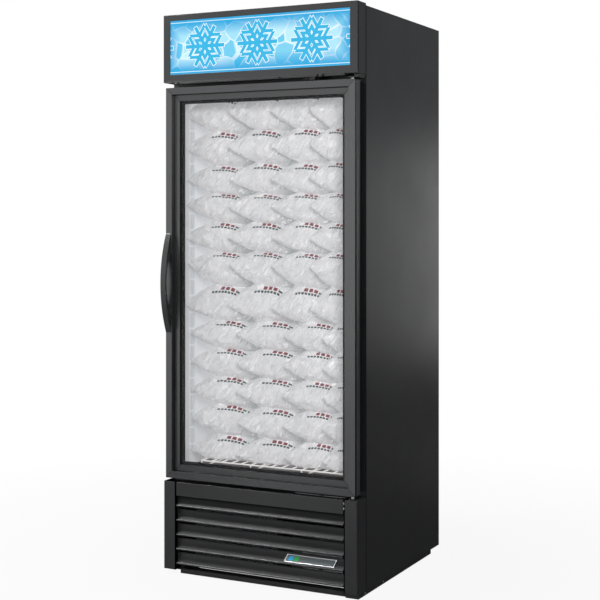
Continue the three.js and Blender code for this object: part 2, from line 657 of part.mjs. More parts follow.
// The bare badge plate lies along the slope of one louvre, a plate with slanted ends.
function badgePlate() {
  const half = BADGE_LENGTH / 2;
  const tall = BADGE_HEIGHT / 2;
  const slant = BADGE_SLANT / 2;
  const outline = [
    [-half - slant, -tall],
    [half - slant, -tall],
    [half + slant, tall],
    [-half + slant, tall],
  ];
  const plate = extrude(shapeOf(outline), BADGE_THICKNESS);
  const run = LOUVRE_DEPTH - NOSE_RADIUS; // of the louvre's chord, from nose to top
  const rise = LOUVRE_RISE - NOSE_RADIUS;
  const slope = new THREE.Vector2(run, rise).normalize();
  plate.applyMatrix4(basis([1, 0, 0], [0, slope.x, slope.y], [0, -slope.y, slope.x]));
  const nose = LOUVRE_LOWEST + BADGE_LOUVRE * LOUVRE_PITCH;
  const up = tall + NOSE_RADIUS / 2;
  const depth = NOSE_RADIUS + slope.x * up - slope.y * SEAT;
  const height = nose + NOSE_RADIUS + slope.y * up + slope.x * SEAT;
  plate.translate(HALF - BADGE_RIGHT - half, FRONT + depth, height);
  add(cabinet, "badge_plate", plate, silver);
}

function lowerFront() {
  add(cabinet, "corner_trim_left", cornerTrim(-1), blackPaint);
  add(cabinet, "corner_trim_right", cornerTrim(1), blackPaint);
  frontGrille();
  badgePlate();
}

// ---- Base frame, tray and levelling feet --------------------------------------------------------
const footPlaces = {
  foot_front_left: [-FOOT_X, FOOT_FRONT],
  foot_front_right: [FOOT_X, FOOT_FRONT],
  foot_rear_left: [-FOOT_X, FOOT_REAR],
  foot_rear_right: [FOOT_X, FOOT_REAR],
};

// Holes for the stems of the feet, through the base rails and the tray.
const stemHoles = () =>
  Object.values(footPlaces).map(([x, d]) =>
    rod("z", FOOT_STEM_RADIUS + SEAT, 2 * (FOOT_PAD + FOOT_STEM), [x, d, 0], SHAFT_COUNT),
  );

function base() {
  const rail = (x0, x1, d0, d1) => box(x0, x1, d0, d1, BASE_BOTTOM, BASE_TOP);
  const inner = BASE_INNER + WELD;
  const crossLeft = -BASE_INNER + BASE_LEFT_GAP;
  const crossBack = BASE_FRONT + BASE_CROSS;
  const rails = join(
    rail(-BASE_HALF, -BASE_INNER, BASE_LEFT_FRONT, BASE_REAR),
    rail(BASE_INNER, BASE_HALF, BASE_RIGHT_FRONT, BASE_REAR),
    rail(crossLeft, inner, BASE_FRONT, crossBack),
    rail(-inner, inner, BASE_REAR - BASE_CROSS, BASE_REAR),
    rail(-inner, crossLeft + BASE_GUSSET, crossBack - WELD, crossBack + BASE_GUSSET),
  );
  const wells = Object.values(footPlaces).map(([x, d]) =>
    rod("z", FOOT_RADIUS + FOOT_WELL_GAP, 2 * (FOOT_PAD + SEAT), [x, d, 0]),
  );
  add(cabinet, "base_frame", cut(rails, ...wells, ...stemHoles()), blackPaint);

  const trayHalf = HALF - SHEET - SEAT;
  const tray = box(-trayHalf, trayHalf, TRAY_FRONT, TRAY_REAR, BODY_BOTTOM, TRAY_TOP);
  add(cabinet, "machine_tray", cut(tray, ...stemHoles()), galvanised);
}

function levellingFeet() {
  for (const [name, [x, d]] of Object.entries(footPlaces)) {
    const pad = rod("z", FOOT_RADIUS, FOOT_PAD, [x, d, FOOT_PAD / 2]);
    const stemMiddle = FOOT_PAD + (FOOT_STEM - WELD) / 2;
    const stem = rod("z", FOOT_STEM_RADIUS, FOOT_STEM + WELD, [x, d, stemMiddle], SHAFT_COUNT);
    add(cabinet, name, join(pad, stem), galvanised);
  }
}

// ---- Door ---------------------------------------------------------------------------------------
// Section of the door frame: u runs in from the door's edge, v back from its front.
function doorSection() {
  const outline = [
    [0, 0],
    [LIP_WIDTH, 0],
    [LIP_WIDTH, BEAD_DEPTH],
    [SECTION_WIDTH, BEAD_DEPTH],
    [SECTION_WIDTH, BEAD_BACK],
    [REBATE_EDGE, BEAD_BACK],
    [REBATE_EDGE, FRAME_DEPTH],
    [0, FRAME_DEPTH],
    [0, GROOVE_FRONT + GROOVE_WIDTH],
    [GROOVE_DEPTH, GROOVE_FRONT + GROOVE_WIDTH],
    [GROOVE_DEPTH, GROOVE_FRONT],
    [0, GROOVE_FRONT],
  ];
  const near = GROOVE_DEPTH + FRAME_WALL;
  const step = BEAD_BACK + FRAME_WALL;
  const back = FRAME_DEPTH - FRAME_WALL;
  const far = REBATE_EDGE - FRAME_WALL;
  const chamber = [
    [near, FRAME_WALL],
    [near, back],
    [far, back],
    [far, step],
    [LIP_WIDTH - FRAME_WALL, step],
    [LIP_WIDTH - FRAME_WALL, FRAME_WALL],
  ];
  return shapeOf(outline, [chamber]);
}

// A frame member of that section, mitred at both ends: each end slopes inwards with u.
function mitredMember(length) {
  const member = extrude(doorSection(), length);
  const position = member.getAttribute("position");
  for (let i = 0; i < position.count; i++) {
    const slope = position.getX(i) + SEAT / 2;
    position.setZ(i, position.getZ(i) < length / 2 ? slope : length - slope);
  }
  return member;
}

// A member laid along one side of the door: its section's inward direction and its own direction.
function doorMember(length, inward, along, x, z) {
  const member = mitredMember(length);
  member.applyMatrix4(basis(inward, [0, 1, 0], along));
  return member.translate(x, FRONT, z);
}

function doorFrame() {
  const right = [1, 0, 0];
  const left = [-1, 0, 0];
  const up = [0, 0, 1];
  const down = [0, 0, -1];
  const bushHole = (z) =>
    rod("z", BUSH_RADIUS + SEAT, 2 * (BUSH_IN_DOOR + SEAT), [HINGE_X, HINGE_DEPTH, z], PIN_COUNT);
  const stileLeft = doorMember(DOOR_HEIGHT, right, up, -DOOR_HALF, DOOR_BOTTOM);
  const stileRight = doorMember(DOOR_HEIGHT, left, down, DOOR_HALF, DOOR_TOP);
  const railBottom = doorMember(DOOR_WIDTH, up, left, DOOR_HALF, DOOR_BOTTOM);
  const railTop = doorMember(DOOR_WIDTH, down, right, -DOOR_HALF, DOOR_TOP);
  add(door, "door_stile_left", stileLeft, blackFrame);
  add(door, "door_stile_right", stileRight, blackFrame);
  add(door, "door_rail_bottom", cut(railBottom, bushHole(DOOR_BOTTOM)), blackFrame);
  add(door, "door_rail_top", cut(railTop, bushHole(DOOR_TOP)), blackFrame);
}

// The door's outline moved in by an inset, as x0, x1, z0, z1.
const doorInset = (inset) => [
  -DOOR_HALF + inset,
  DOOR_HALF - inset,
  DOOR_BOTTOM + inset,
  DOOR_TOP - inset,
];

function doorGlazing() {
  const [x0, x1, z0, z1] = doorInset(GLASS_INSET);
  const pane = (d) => box(x0, x1, d, d + GLASS, z0, z1);
  add(door, "glass_outer", pane(OUTER_GLASS), clearGlass);
  add(door, "glass_inner", pane(INNER_GLASS), clearGlass);
  const spacer = ring(doorInset(GLASS_INSET), doorInset(SECTION_WIDTH + SPACER_SIGHT));
  const bar = backFrom(spacer, OUTER_GLASS + GLASS + SEAT, INNER_GLASS - SEAT);
  add(door, "glass_spacer", bar, blackPlastic);
}

function doorSeal() {
  const carrierFront = FRAME_DEPTH + SEAT;
  const carrierBack = carrierFront + CARRIER_DEPTH;
  const carrier = ring(doorInset(CARRIER_INSET), doorInset(SECTION_WIDTH + CARRIER_SETBACK));
  add(door, "gasket_carrier", backFrom(carrier, carrierFront, carrierBack), blackPlastic);
  const gasket = ring(doorInset(GASKET_INSET), doorInset(GASKET_INSET + GASKET_WIDTH));
  add(door, "door_gasket", backFrom(gasket, carrierBack + SEAT, PANEL_FRONT), rubberBlack);
}

// ---- Handle -------------------------------------------------------------------------------------
// Points of the arc through (-half, 0), (0, rise) and (half, 0), as [along, out].
function bowArc(half, rise, count) {
  const radius = (half * half + rise * rise) / (2 * rise);
  const swing = Math.asin(half / radius);
  return [...Array(count + 1).keys()].map((i) => {
    const angle = -swing + (2 * swing * i) / count;
    return [radius * Math.sin(angle), radius * Math.cos(angle) - (radius - rise)];
  });
}

// A bow over the door's lip, carried by two webs that step over the lip to a flange on the bead.
function handle() {
  const half = HANDLE_LENGTH / 2;
  const finger = HANDLE_FINGER / 2;
  const left = -DOOR_HALF;
  const outer = bowArc(half, HANDLE_REACH, 24);
  const inner = bowArc(finger, HANDLE_REACH - HANDLE_THICKNESS, 18).reverse();
  const bow = [...outer, ...inner].map(([along, out]) => [
    -Math.max(out, SEAT),
    HANDLE_HEIGHT + along,
  ]);

  const webHalf = half - HANDLE_WEB_INSET;
  const flangeLeft = left + LIP_WIDTH + SEAT;
  const flangeArc = bowArc(webHalf, HANDLE_FLANGE, 20).map(([along, out]) => [
    flangeLeft + Math.max(out, HANDLE_WEB),
    HANDLE_HEIGHT + along,
  ]);
  const flange = [
    [flangeLeft, HANDLE_HEIGHT - webHalf],
    ...flangeArc,
    [flangeLeft, HANDLE_HEIGHT + webHalf],
  ];
  const bead = BEAD_DEPTH - SEAT;
  const webs = [-1, 1].flatMap((side) => {
    const ends = [finger + HANDLE_FINGER_LAND, webHalf].map((z) => HANDLE_HEIGHT + side * z);
    const [z0, z1] = ordered(...ends);
    const webBack = flangeLeft + HANDLE_WEB;
    const bowRight = left + HANDLE_WIDTH - WELD;
    return [
      box(bowRight, webBack, -HANDLE_WEB, -SEAT, z0, z1),
      box(flangeLeft, webBack, -HANDLE_WEB, bead, z0, z1),
    ];
  });
  const parts = [
    acrossFrom(shapeOf(bow), left, left + HANDLE_WIDTH),
    backFrom(shapeOf(flange), bead - HANDLE_WEB, bead),
    ...webs,
  ];
  add(door, "door_handle", join(...parts), blackPlastic);
}

// ---- Hinges -------------------------------------------------------------------------------------
// A bracket with its pin, and the nylon bush in the door that turns on the pin. The plate's near
// side faces the door's end, and inward is the direction from the plate into the door.
function hinge(name, doorEnd, plateNear, inward) {
  const x1 = BASE_HALF;
  const x0 = x1 - BRACKET_WIDTH;
  const plateFar = plateNear - inward * BRACKET_THICKNESS;
  const plate = box(x0, x1, BRACKET_FRONT, PANEL_FRONT, ...ordered(plateNear, plateFar));
  const pinTip = doorEnd + inward * (BUSH_IN_DOOR - WELD);
  const [pinLow, pinHigh] = ordered(plateFar, pinTip);
  const pinPlace = [HINGE_X, HINGE_DEPTH, (pinLow + pinHigh) / 2];
  const pin = rod("z", PIN_RADIUS, pinHigh - pinLow, pinPlace, PIN_COUNT);

  const bushEnds = [plateNear + inward * SEAT, doorEnd + inward * BUSH_IN_DOOR];
  const [bushLow, bushHigh] = ordered(...bushEnds);
  const bushPlace = [HINGE_X, HINGE_DEPTH, (bushLow + bushHigh) / 2];
  const bush = rod("z", BUSH_RADIUS, bushHigh - bushLow, bushPlace, PIN_COUNT);
  const bore = rod("z", BUSH_BORE, bushHigh - bushLow + OVERRUN, bushPlace, PIN_COUNT);
  add(door, "hinge_bush_" + name, cut(bush, bore), whiteNylon);

  const legFront = PANEL_FRONT - BRACKET_THICKNESS;
  const leg = (z0, z1) => box(x0, x1, legFront, PANEL_FRONT, ...ordered(z0, z1));
  return { x1, plateFar, parts: [plate, pin], leg };
}

function hinges() {
  const bottom = hinge("bottom", DOOR_BOTTOM, LOWER_TOP + SEAT + BRACKET_THICKNESS, 1);
  const bottomLeg = bottom.leg(bottom.plateFar + WELD, bottom.plateFar - BRACKET_LEG);
  const bottomBracket = join(...bottom.parts, bottomLeg);
  add(cabinet, "hinge_bracket_bottom", bottomBracket, blackPaint);

  const top = hinge("top", DOOR_TOP, HEADER_BOTTOM - TOP_PLATE_DROP, -1);
  const topLeg = top.leg(top.plateFar, top.plateFar - BRACKET_LEG);
  const block = box(
    top.x1 - BLOCK_WIDTH,
    top.x1,
    PANEL_FRONT - BLOCK_LENGTH,
    PANEL_FRONT,
    top.plateFar - WELD,
    HEADER_BOTTOM - SEAT,
  );
  add(cabinet, "hinge_bracket_top", join(...top.parts, topLeg, block), blackPaint);
}

// ---- Fans ---------------------------------------------------------------------------------------
// A fan rotor on a shaft along y: hub and pitched blades from depth front to front + depth.
function fanRotor(radius, hub, depth, [x, front, z]) {
  const chord = radius * BLADE_CHORD;
  const reach = radius - hub + WELD;
  const blades = [...Array(BLADE_COUNT).keys()].map((i) => {
    const blade = new THREE.BoxGeometry(chord, BLADE_THICKNESS, reach);
    blade.rotateZ(BLADE_PITCH);
    blade.translate(0, 0, hub - WELD + reach / 2);
    return blade.rotateY((2 * Math.PI * i) / BLADE_COUNT);
  });
  const hubRod = new THREE.CylinderGeometry(hub, hub, depth, 20);
  const envelope = new THREE.CylinderGeometry(radius, radius, depth, 32);
  const boreRadius = SHAFT_RADIUS + SEAT;
  const bore = new THREE.CylinderGeometry(boreRadius, boreRadius, 2 * depth, SHAFT_COUNT);
  const whole = solid(join(hubRod, ...blades)).intersect(solid(envelope));
  const rotor = geometryOf(whole.subtract(solid(bore)));
  return rotor.translate(x, FRONT + front + depth / 2, z);
}

// A motor behind depth front, with its shaft reaching forward to depth tip.
function fanMotor(radius, length, [x, front, z], tip) {
  const body = rodBack(radius, front, front + length, x, z);
  const shaft = rodBack(SHAFT_RADIUS, tip, front + WELD, x, z, SHAFT_COUNT);
  return join(body, shaft);
}

// A finned core in plan: upright fins across the air, on one spine at the middle of the depth.
function finnedCore(fins, x0, x1, d0, d1, z0, z1) {
  const pitch = (x1 - x0 - FIN_THICKNESS) / (fins - 1);
  const middle = (d0 + d1) / 2;
  const side = (edge, near) =>
    [...Array(fins).keys()].flatMap((i) => {
      const x = x0 + i * pitch;
      return [
        [x, near],
        [x, edge],
        [x + FIN_THICKNESS, edge],
        [x + FIN_THICKNESS, near],
      ];
    });
  const front = side(d0, middle - FIN_SPINE / 2);
  const back = side(d1, middle + FIN_SPINE / 2).reverse();
  return uprightFrom([...front, ...back], z0, z1);
}

// ---- Machine compartment ------------------------------------------------------------------------
function condenser() {
  const core = finnedCore(
    CONDENSER_FINS,
    CONDENSER_X0,
    CONDENSER_X1,
    CONDENSER_FRONT,
    CONDENSER_BACK,
    TRAY_SEAT,
    CONDENSER_TOP,
  );
  const rowPitch = CONDENSER_HEIGHT / CONDENSER_ROWS;
  const length = CONDENSER_BEND + WELD;
  const middle = (CONDENSER_FRONT + CONDENSER_BACK) / 2;
  const bends = [...Array(CONDENSER_ROWS).keys()].map((i) => {
    const z = TRAY_SEAT + (i + 0.5) * rowPitch;
    return rod("x", PIPE_RADIUS, length, [CONDENSER_X1 - WELD + length / 2, middle, z], SHAFT_COUNT);
  });
  add(cabinet, "condenser_coil", join(core, ...bends), finAluminium);

  const throatRadius = FAN_RADIUS + FAN_TIP_GAP;
  const plate = box(
    CONDENSER_X0,
    CONDENSER_X1,
    SHROUD_FRONT,
    SHROUD_FRONT + SHROUD_WALL,
    TRAY_SEAT,
    CONDENSER_TOP,
  );
  const tube = rodBack(
    throatRadius + SHROUD_WALL,
    SHROUD_FRONT,
    SHROUD_BACK,
    FAN_X,
    FAN_Z,
    THROAT_COUNT,
  );
  const throat = rodBack(
    throatRadius,
    SHROUD_FRONT - OVERRUN,
    SHROUD_BACK + OVERRUN,
    FAN_X,
    FAN_Z,
    THROAT_COUNT,
  );
  const armHalf = MOTOR_ARM / 2;
  const armReach = throatRadius + SHROUD_WALL / 2;
  const arm = box(
    FAN_X - armHalf,
    FAN_X + armHalf,
    SHROUD_BACK - SHROUD_WALL,
    SHROUD_BACK,
    FAN_Z - armReach,
    FAN_Z + armReach,
  );
  const shaftHole = rodBack(
    SHAFT_RADIUS + SEAT,
    SHROUD_FRONT,
    SHROUD_BACK + WELD,
    FAN_X,
    FAN_Z,
    SHAFT_COUNT,
  );
  const shroud = cut(join(cut(join(plate, tube), throat), arm), shaftHole);
  add(cabinet, "fan_shroud", shroud, blackPaint);

  const motorPlace = [FAN_X, SHROUD_BACK + SEAT, FAN_Z];
  const motor = fanMotor(MOTOR_RADIUS, MOTOR_LENGTH, motorPlace, FAN_FRONT);
  add(cabinet, "condenser_fan_motor", motor, galvanised);
  const rotor = fanRotor(FAN_RADIUS, FAN_HUB, FAN_DEPTH, [FAN_X, FAN_FRONT, FAN_Z]);
  add(cabinet, "condenser_fan_blade", rotor, blackPlastic);
}

// A domed pot standing on the tray, open where its bottom is cut away.
function domedPot(radius, height) {
  const profile = [
    [0, 0],
    [0.88, 0],
    [1, 0.08],
    [1, 0.72],
    [0.9, 0.87],
    [0.62, 0.97],
    [0, 1],
  ].map(([r, h]) => new THREE.Vector2(r * radius, h * height));
  const pot = new THREE.LatheGeometry(profile, ROUND_COUNT);
  pot.rotateX(Math.PI / 2);
  return pot.translate(COMPRESSOR_X, FRONT + COMPRESSOR_DEPTH, TRAY_SEAT);
}

// The compressor's shell on its foot plate, with the discharge pipe to the condenser.
function compressor() {
  const shell = domedPot(COMPRESSOR_RADIUS, COMPRESSOR_HEIGHT);
  const inside = domedPot(
    COMPRESSOR_RADIUS - COMPRESSOR_WALL,
    COMPRESSOR_HEIGHT - 2 * COMPRESSOR_WALL,
  ).translate(0, 0, COMPRESSOR_WALL);
  const drain = rod(
    "z",
    COMPRESSOR_WALL,
    2 * (TRAY_THICKNESS + COMPRESSOR_WALL),
    [COMPRESSOR_X, COMPRESSOR_DEPTH, TRAY_SEAT],
    SHAFT_COUNT,
  );
  const footHalf = COMPRESSOR_FOOT / 2;
  const foot = box(
    COMPRESSOR_X - footHalf,
    COMPRESSOR_X + footHalf,
    COMPRESSOR_DEPTH - footHalf,
    COMPRESSOR_DEPTH + footHalf,
    TRAY_SEAT,
    TRAY_SEAT + TRAY_THICKNESS,
  );
  const inletX = CONDENSER_X1 + CONDENSER_BEND + PIPE_RADIUS + SEAT;
  const inletZ = CONDENSER_TOP - CONDENSER_HEIGHT / CONDENSER_ROWS / 2;
  const inletDepth = (CONDENSER_FRONT + CONDENSER_BACK) / 2;
  const outletX = COMPRESSOR_X + COMPRESSOR_RADIUS / 2;
  const discharge = pipe(
    [
      [outletX, COMPRESSOR_DEPTH, COMPRESSOR_TOP - PIPE_RUN / 3],
      [outletX, COMPRESSOR_DEPTH, COMPRESSOR_TOP + PIPE_RUN / 2],
      [outletX + PIPE_RUN, COMPRESSOR_DEPTH, inletZ + PIPE_RUN / 3],
      [inletX, COMPRESSOR_DEPTH - PIPE_RUN, inletZ],
      [inletX, inletDepth + PIPE_RUN, inletZ],
      [inletX, inletDepth, inletZ],
    ],
    PIPE_RADIUS,
    28,
  );
  const pot = cut(join(shell, foot), inside, drain);
  add(cabinet, "compressor", join(pot, discharge), blackPaint);
}

// The liquid line from the condenser through the filter drier up to the compartment's ceiling.
function liquidLine() {
  const outletX = CONDENSER_X1 + CONDENSER_BEND + PIPE_RADIUS + SEAT;
  const outletZ = TRAY_SEAT + CONDENSER_HEIGHT / CONDENSER_ROWS / 2;
  const outletDepth = (CONDENSER_FRONT + CONDENSER_BACK) / 2;
  const lineX = HALF - LINE_RIGHT;
  const drierFront = (outletDepth + LINE_REAR - DRIER_LENGTH) / 2;
  const line = pipe(
    [
      [outletX, outletDepth, outletZ],
      [outletX, outletDepth + PIPE_RUN, outletZ],
      [lineX, outletDepth + 2 * PIPE_RUN, outletZ],
      [lineX, LINE_REAR - PIPE_RUN, outletZ],
      [lineX, LINE_REAR, outletZ + PIPE_RUN],
      [lineX, LINE_REAR, MACHINE_TOP - SEAT],
    ],
    PIPE_RADIUS,
    34,
  );
  const drier = rodBack(DRIER_RADIUS, drierFront, drierFront + DRIER_LENGTH, lineX, outletZ, SHAFT_COUNT);
  add(cabinet, "liquid_line", join(line, drier), copper);
}

function controls() {
  const casing = (wall, back) =>
    box(
      CONTROL_X0 + wall,
      CONTROL_X1 - wall,
      CONTROL_FRONT + wall,
      CONTROL_FRONT + CONTROL_DEPTH + back,
      TRAY_SEAT + wall,
      CONTROL_TOP - wall,
    );
  const body = cut(casing(0, 0), casing(CONTROL_WALL, OVERRUN));
  const dialFront = CONTROL_FRONT - SEAT - DIAL_DEPTH;
  const spindle = rodBack(
    DIAL_SPINDLE,
    dialFront,
    CONTROL_FRONT + WELD,
    CONTROL_X,
    DIAL_Z,
    SHAFT_COUNT,
  );
  add(cabinet, "control_box", join(body, spindle), galvanised);

  const knob = rodBack(DIAL_RADIUS, dialFront, CONTROL_FRONT - SEAT, CONTROL_X, DIAL_Z);
  const bore = rodBack(
    DIAL_SPINDLE + SEAT,
    dialFront - OVERRUN,
    CONTROL_FRONT + OVERRUN,
    CONTROL_X,
    DIAL_Z,
    SHAFT_COUNT,
  );
  add(cabinet, "control_dial", cut(knob, bore), blackPlastic);
}

// ---- Evaporator under the ceiling ---------------------------------------------------------------
function evaporator() {
  const shell = box(
    -COVER_HALF,
    COVER_HALF,
    EVAPORATOR_FRONT,
    COVER_BACK,
    COVER_BOTTOM,
    COVER_TOP,
  );
  const hollow = box(
    -COVER_HALF + SHEET,
    COVER_HALF - SHEET,
    EVAPORATOR_FRONT + SHEET,
    COVER_BACK - SHEET,
    COVER_BOTTOM + SHEET,
    COVER_TOP + OVERRUN,
  );
  const fanHole = rodBack(
    EVAPORATOR_FAN_RADIUS + EVAPORATOR_FAN_GAP,
    EVAPORATOR_FRONT - OVERRUN,
    EVAPORATOR_FRONT + OVERRUN,
    0,
    COVER_FAN_Z,
    36,
  );
  const coilBack = COVER_BACK - EVAPORATOR_COIL_BACK;
  const coilHalf = EVAPORATOR_COIL_WIDTH / 2;
  const airReturn = box(
    -coilHalf,
    coilHalf,
    COVER_BACK - OVERRUN,
    COVER_BACK + OVERRUN,
    COVER_SEAT + EVAPORATOR_FAN_GAP,
    COVER_FAN_Z,
  );
  add(cabinet, "evaporator_cover", cut(shell, hollow, fanHole, airReturn), whiteLiner);

  const coil = finnedCore(
    EVAPORATOR_FINS,
    -coilHalf,
    coilHalf,
    coilBack - EVAPORATOR_COIL_LENGTH,
    coilBack,
    COVER_SEAT,
    COVER_SEAT + EVAPORATOR_COIL_HEIGHT,
  );
  add(cabinet, "evaporator_coil", coil, finAluminium);

  const motorFront = COVER_FAN_FRONT + EVAPORATOR_FAN_DEPTH + EVAPORATOR_FAN_GAP;
  const motorPlace = [0, motorFront, COVER_FAN_Z];
  const motor = fanMotor(
    EVAPORATOR_MOTOR_RADIUS,
    EVAPORATOR_MOTOR_LENGTH,
    motorPlace,
    COVER_FAN_FRONT,
  );
  const strap = box(
    -MOTOR_ARM / 2,
    MOTOR_ARM / 2,
    motorFront + EVAPORATOR_MOTOR_LENGTH / 2,
    motorFront + EVAPORATOR_MOTOR_LENGTH / 2 + SHROUD_WALL,
    COVER_SEAT,
    COVER_TOP,
  );
  add(cabinet, "evaporator_fan_motor", join(motor, strap), galvanised);
  const rotor = fanRotor(EVAPORATOR_FAN_RADIUS, EVAPORATOR_HUB, EVAPORATOR_FAN_DEPTH, [
    0,
    COVER_FAN_FRONT,
    COVER_FAN_Z,
  ]);
  add(cabinet, "evaporator_fan_blade", rotor, blackPlastic);
}

// ---- Ice compartment ----------------------------------------------------------------------------
// Floor rack: wires from front to back between a front and a back wire, on runners that lie on the
// floor and turn up into a leg at each end.
function floorRack() {
  const x0 = -INNER_HALF + RACK_LEFT;
  const x1 = INNER_HALF - RACK_RIGHT;
  const front = INNER_FRONT + RACK_FRONT;
  const back = CAVITY_BACK - RACK_REAR;
  const middle = (front + back) / 2;
  const top = INNER_FLOOR + RACK_HEIGHT;
  const wireZ = top - RACK_WIRE;
  const runnerZ = INNER_FLOOR + RACK_WIRE + SEAT;
  const spread = (count) => [...Array(count).keys()].map((i) => x0 + ((x1 - x0) * i) / (count - 1));
  const lengthwise = (x, z) => rod("y", RACK_WIRE, back - front, [x, middle, z], WIRE_COUNT);
  const crosswise = (d) => {
    const length = x1 - x0 + 2 * RACK_WIRE;
    return rod("x", RACK_WIRE, length, [(x0 + x1) / 2, d, wireZ], WIRE_COUNT);
  };
  const wires = spread(RACK_WIRE_COUNT).map((x) => lengthwise(x, wireZ));
  const runners = spread(RACK_RUNNER_COUNT).flatMap((x) => {
    const legMiddle = (runnerZ - RACK_WIRE + wireZ) / 2;
    const legHeight = wireZ - runnerZ + RACK_WIRE;
    const legs = [front, back].map((d) =>
      rod("z", RACK_WIRE, legHeight, [x, d, legMiddle], WIRE_COUNT),
    );
    return [lengthwise(x, runnerZ), ...legs];
  });
  const ends = [crosswise(front), crosswise(back)];
  add(cabinet, "floor_rack", join(...wires, ...runners, ...ends), whiteWire);
}

function ledBars() {
  const outer = INNER_HALF - SEAT;
  const front = INNER_FRONT + LED_FRONT;
  for (const [name, side] of [
    ["led_bar_left", -1],
    ["led_bar_right", 1],
  ]) {
    const across = ordered(side * (outer - LED_WIDTH), side * outer);
    const range = [front, front + LED_DEPTH, INNER_FLOOR + LED_BOTTOM, OPENING_TOP - LED_TOP];
    add(cabinet, name, box(...across, ...range), whiteLiner);
  }
}

// ---- Assembly -----------------------------------------------------------------------------------
const steps = [
  outerShell,
  rearCover,
  insulation,
  liner,
  openingFrame,
  header,
  sign,
  lowerFront,
  base,
  levellingFeet,
  doorFrame,
  doorGlazing,
  doorSeal,
  handle,
  hinges,
  condenser,
  compressor,
  liquidLine,
  controls,
  evaporator,
  floorRack,
  ledBars,
];
for (const build of steps) build();

export default freezer;
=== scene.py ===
import math

import bmesh
import bpy
import numpy as np
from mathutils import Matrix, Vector


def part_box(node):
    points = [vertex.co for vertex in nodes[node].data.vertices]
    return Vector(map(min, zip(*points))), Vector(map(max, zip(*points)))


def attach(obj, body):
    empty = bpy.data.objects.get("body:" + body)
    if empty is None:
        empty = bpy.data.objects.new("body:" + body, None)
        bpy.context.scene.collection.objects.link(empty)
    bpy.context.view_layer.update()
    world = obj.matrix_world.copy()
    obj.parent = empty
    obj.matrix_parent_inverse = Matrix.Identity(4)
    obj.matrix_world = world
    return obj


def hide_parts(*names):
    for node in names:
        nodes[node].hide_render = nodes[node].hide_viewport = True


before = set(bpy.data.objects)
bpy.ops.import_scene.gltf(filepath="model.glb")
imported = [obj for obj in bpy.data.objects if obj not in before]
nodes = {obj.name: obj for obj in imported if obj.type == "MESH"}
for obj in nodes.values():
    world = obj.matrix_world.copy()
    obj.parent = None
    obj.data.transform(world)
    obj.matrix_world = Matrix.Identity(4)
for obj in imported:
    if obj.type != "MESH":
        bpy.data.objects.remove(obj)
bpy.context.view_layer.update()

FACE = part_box("header_frame")[0].y  # front of the header and of the door


# ---- Camera -------------------------------------------------------------------------------------
# It looks level from the right, so that uprights stay upright. Its lens is shifted, not tilted.
lens = bpy.data.cameras.new("camera")
lens.lens = 78.66
lens.sensor_width = 36
lens.shift_y = -0.1413
camera = bpy.data.objects.new("camera", lens)
camera.location = (2.173, -4.3385, 1.283)
camera.rotation_euler = (math.radians(90), 0, math.radians(26.77))
bpy.context.scene.collection.objects.link(camera)
bpy.context.scene.camera = camera


# ---- Material tools -----------------------------------------------------------------------------
def linear(code):
    """The linear colour of an sRGB hex code."""
    parts = [int(code[i : i + 2], 16) / 255 for i in (1, 3, 5)]
    light = [c / 12.92 if c <= 0.04045 else ((c + 0.055) / 1.055) ** 2.4 for c in parts]
    return (*light, 1.0)


def node(tree, kind, inputs=None, **settings):
    """One shader node with its settings and inputs. An input's value is a number, a colour, or
    another node, whose first output is linked, or one of its outputs."""
    made = tree.nodes.new("ShaderNode" + kind)
    for name, value in settings.items():
        setattr(made, name, value)
    for key, value in (inputs or {}).items():
        socket = made.inputs[key]
        if isinstance(value, bpy.types.Node):
            value = value.outputs[0]
        if isinstance(value, bpy.types.NodeSocket):
            tree.links.new(value, socket)
        else:
            socket.default_value = value
    return made


def blank(name):
    """A new material with an empty tree and its output."""
    material = bpy.data.materials.new(name)
    material.use_nodes = True
    material.node_tree.nodes.clear()
    return material, material.node_tree, node(material.node_tree, "OutputMaterial")


def blend_colours(tree, share, first, second):
    """The mix of two colours by a share, as an output."""
    mixed = node(tree, "Mix", {0: share, 6: first, 7: second}, data_type="RGBA")
    return mixed.outputs[2]


def finish(
    name,
    colours,
    roughness,
    grain,
    relief,
    stretch=(1, 1, 1),
    cells=False,
    patch=0.16,
    edge=0.0,
    **sockets,
):
    """A solid finish. colours is the darker and the lighter tone, roughness its lowest and highest
    value, grain the size in metres of its fine texture, stretched along the axes, relief that
    texture's height in metres, patch the size of broad unevenness and edge the radius that
    softens its edges. sockets are further values of the shader."""
    material, tree, out = blank(name)
    place = node(tree, "TexCoord").outputs["Object"]
    scaled = node(tree, "Mapping", {"Vector": place, "Scale": [s / grain for s in stretch]})
    if cells:
        fine = node(tree, "TexVoronoi", {"Vector": scaled, "Scale": 1.0}).outputs["Color"]
        fine = node(tree, "SeparateColor", {0: fine})
    else:
        fine = node(tree, "TexNoise", {"Vector": scaled, "Scale": 1.0, "Detail": 2.0})
    broad = node(tree, "TexNoise", {"Vector": place, "Scale": 1 / patch, "Detail": 3.0})
    tone = node(tree, "Math", {0: fine, 1: broad}, operation="ADD")
    share = node(tree, "MapRange", {0: tone, "From Min": 0.6, "From Max": 1.4})
    rough = node(
        tree,
        "MapRange",
        {0: tone, "From Min": 0.7, "From Max": 1.3, "To Min": roughness[0], "To Max": roughness[1]},
    )
    bump = {"Height": fine, "Distance": relief, "Strength": 1.0}
    if edge:
        bump["Normal"] = node(tree, "Bevel", {"Radius": edge}, samples=3)
    shader = node(
        tree,
        "BsdfPrincipled",
        {
            "Base Color": blend_colours(tree, share, *[linear(c) for c in colours]),
            "Roughness": rough,
            "Normal": node(tree, "Bump", bump),
            **sockets,
        },
    )
    tree.links.new(shader.outputs[0], out.inputs[0])
    return material


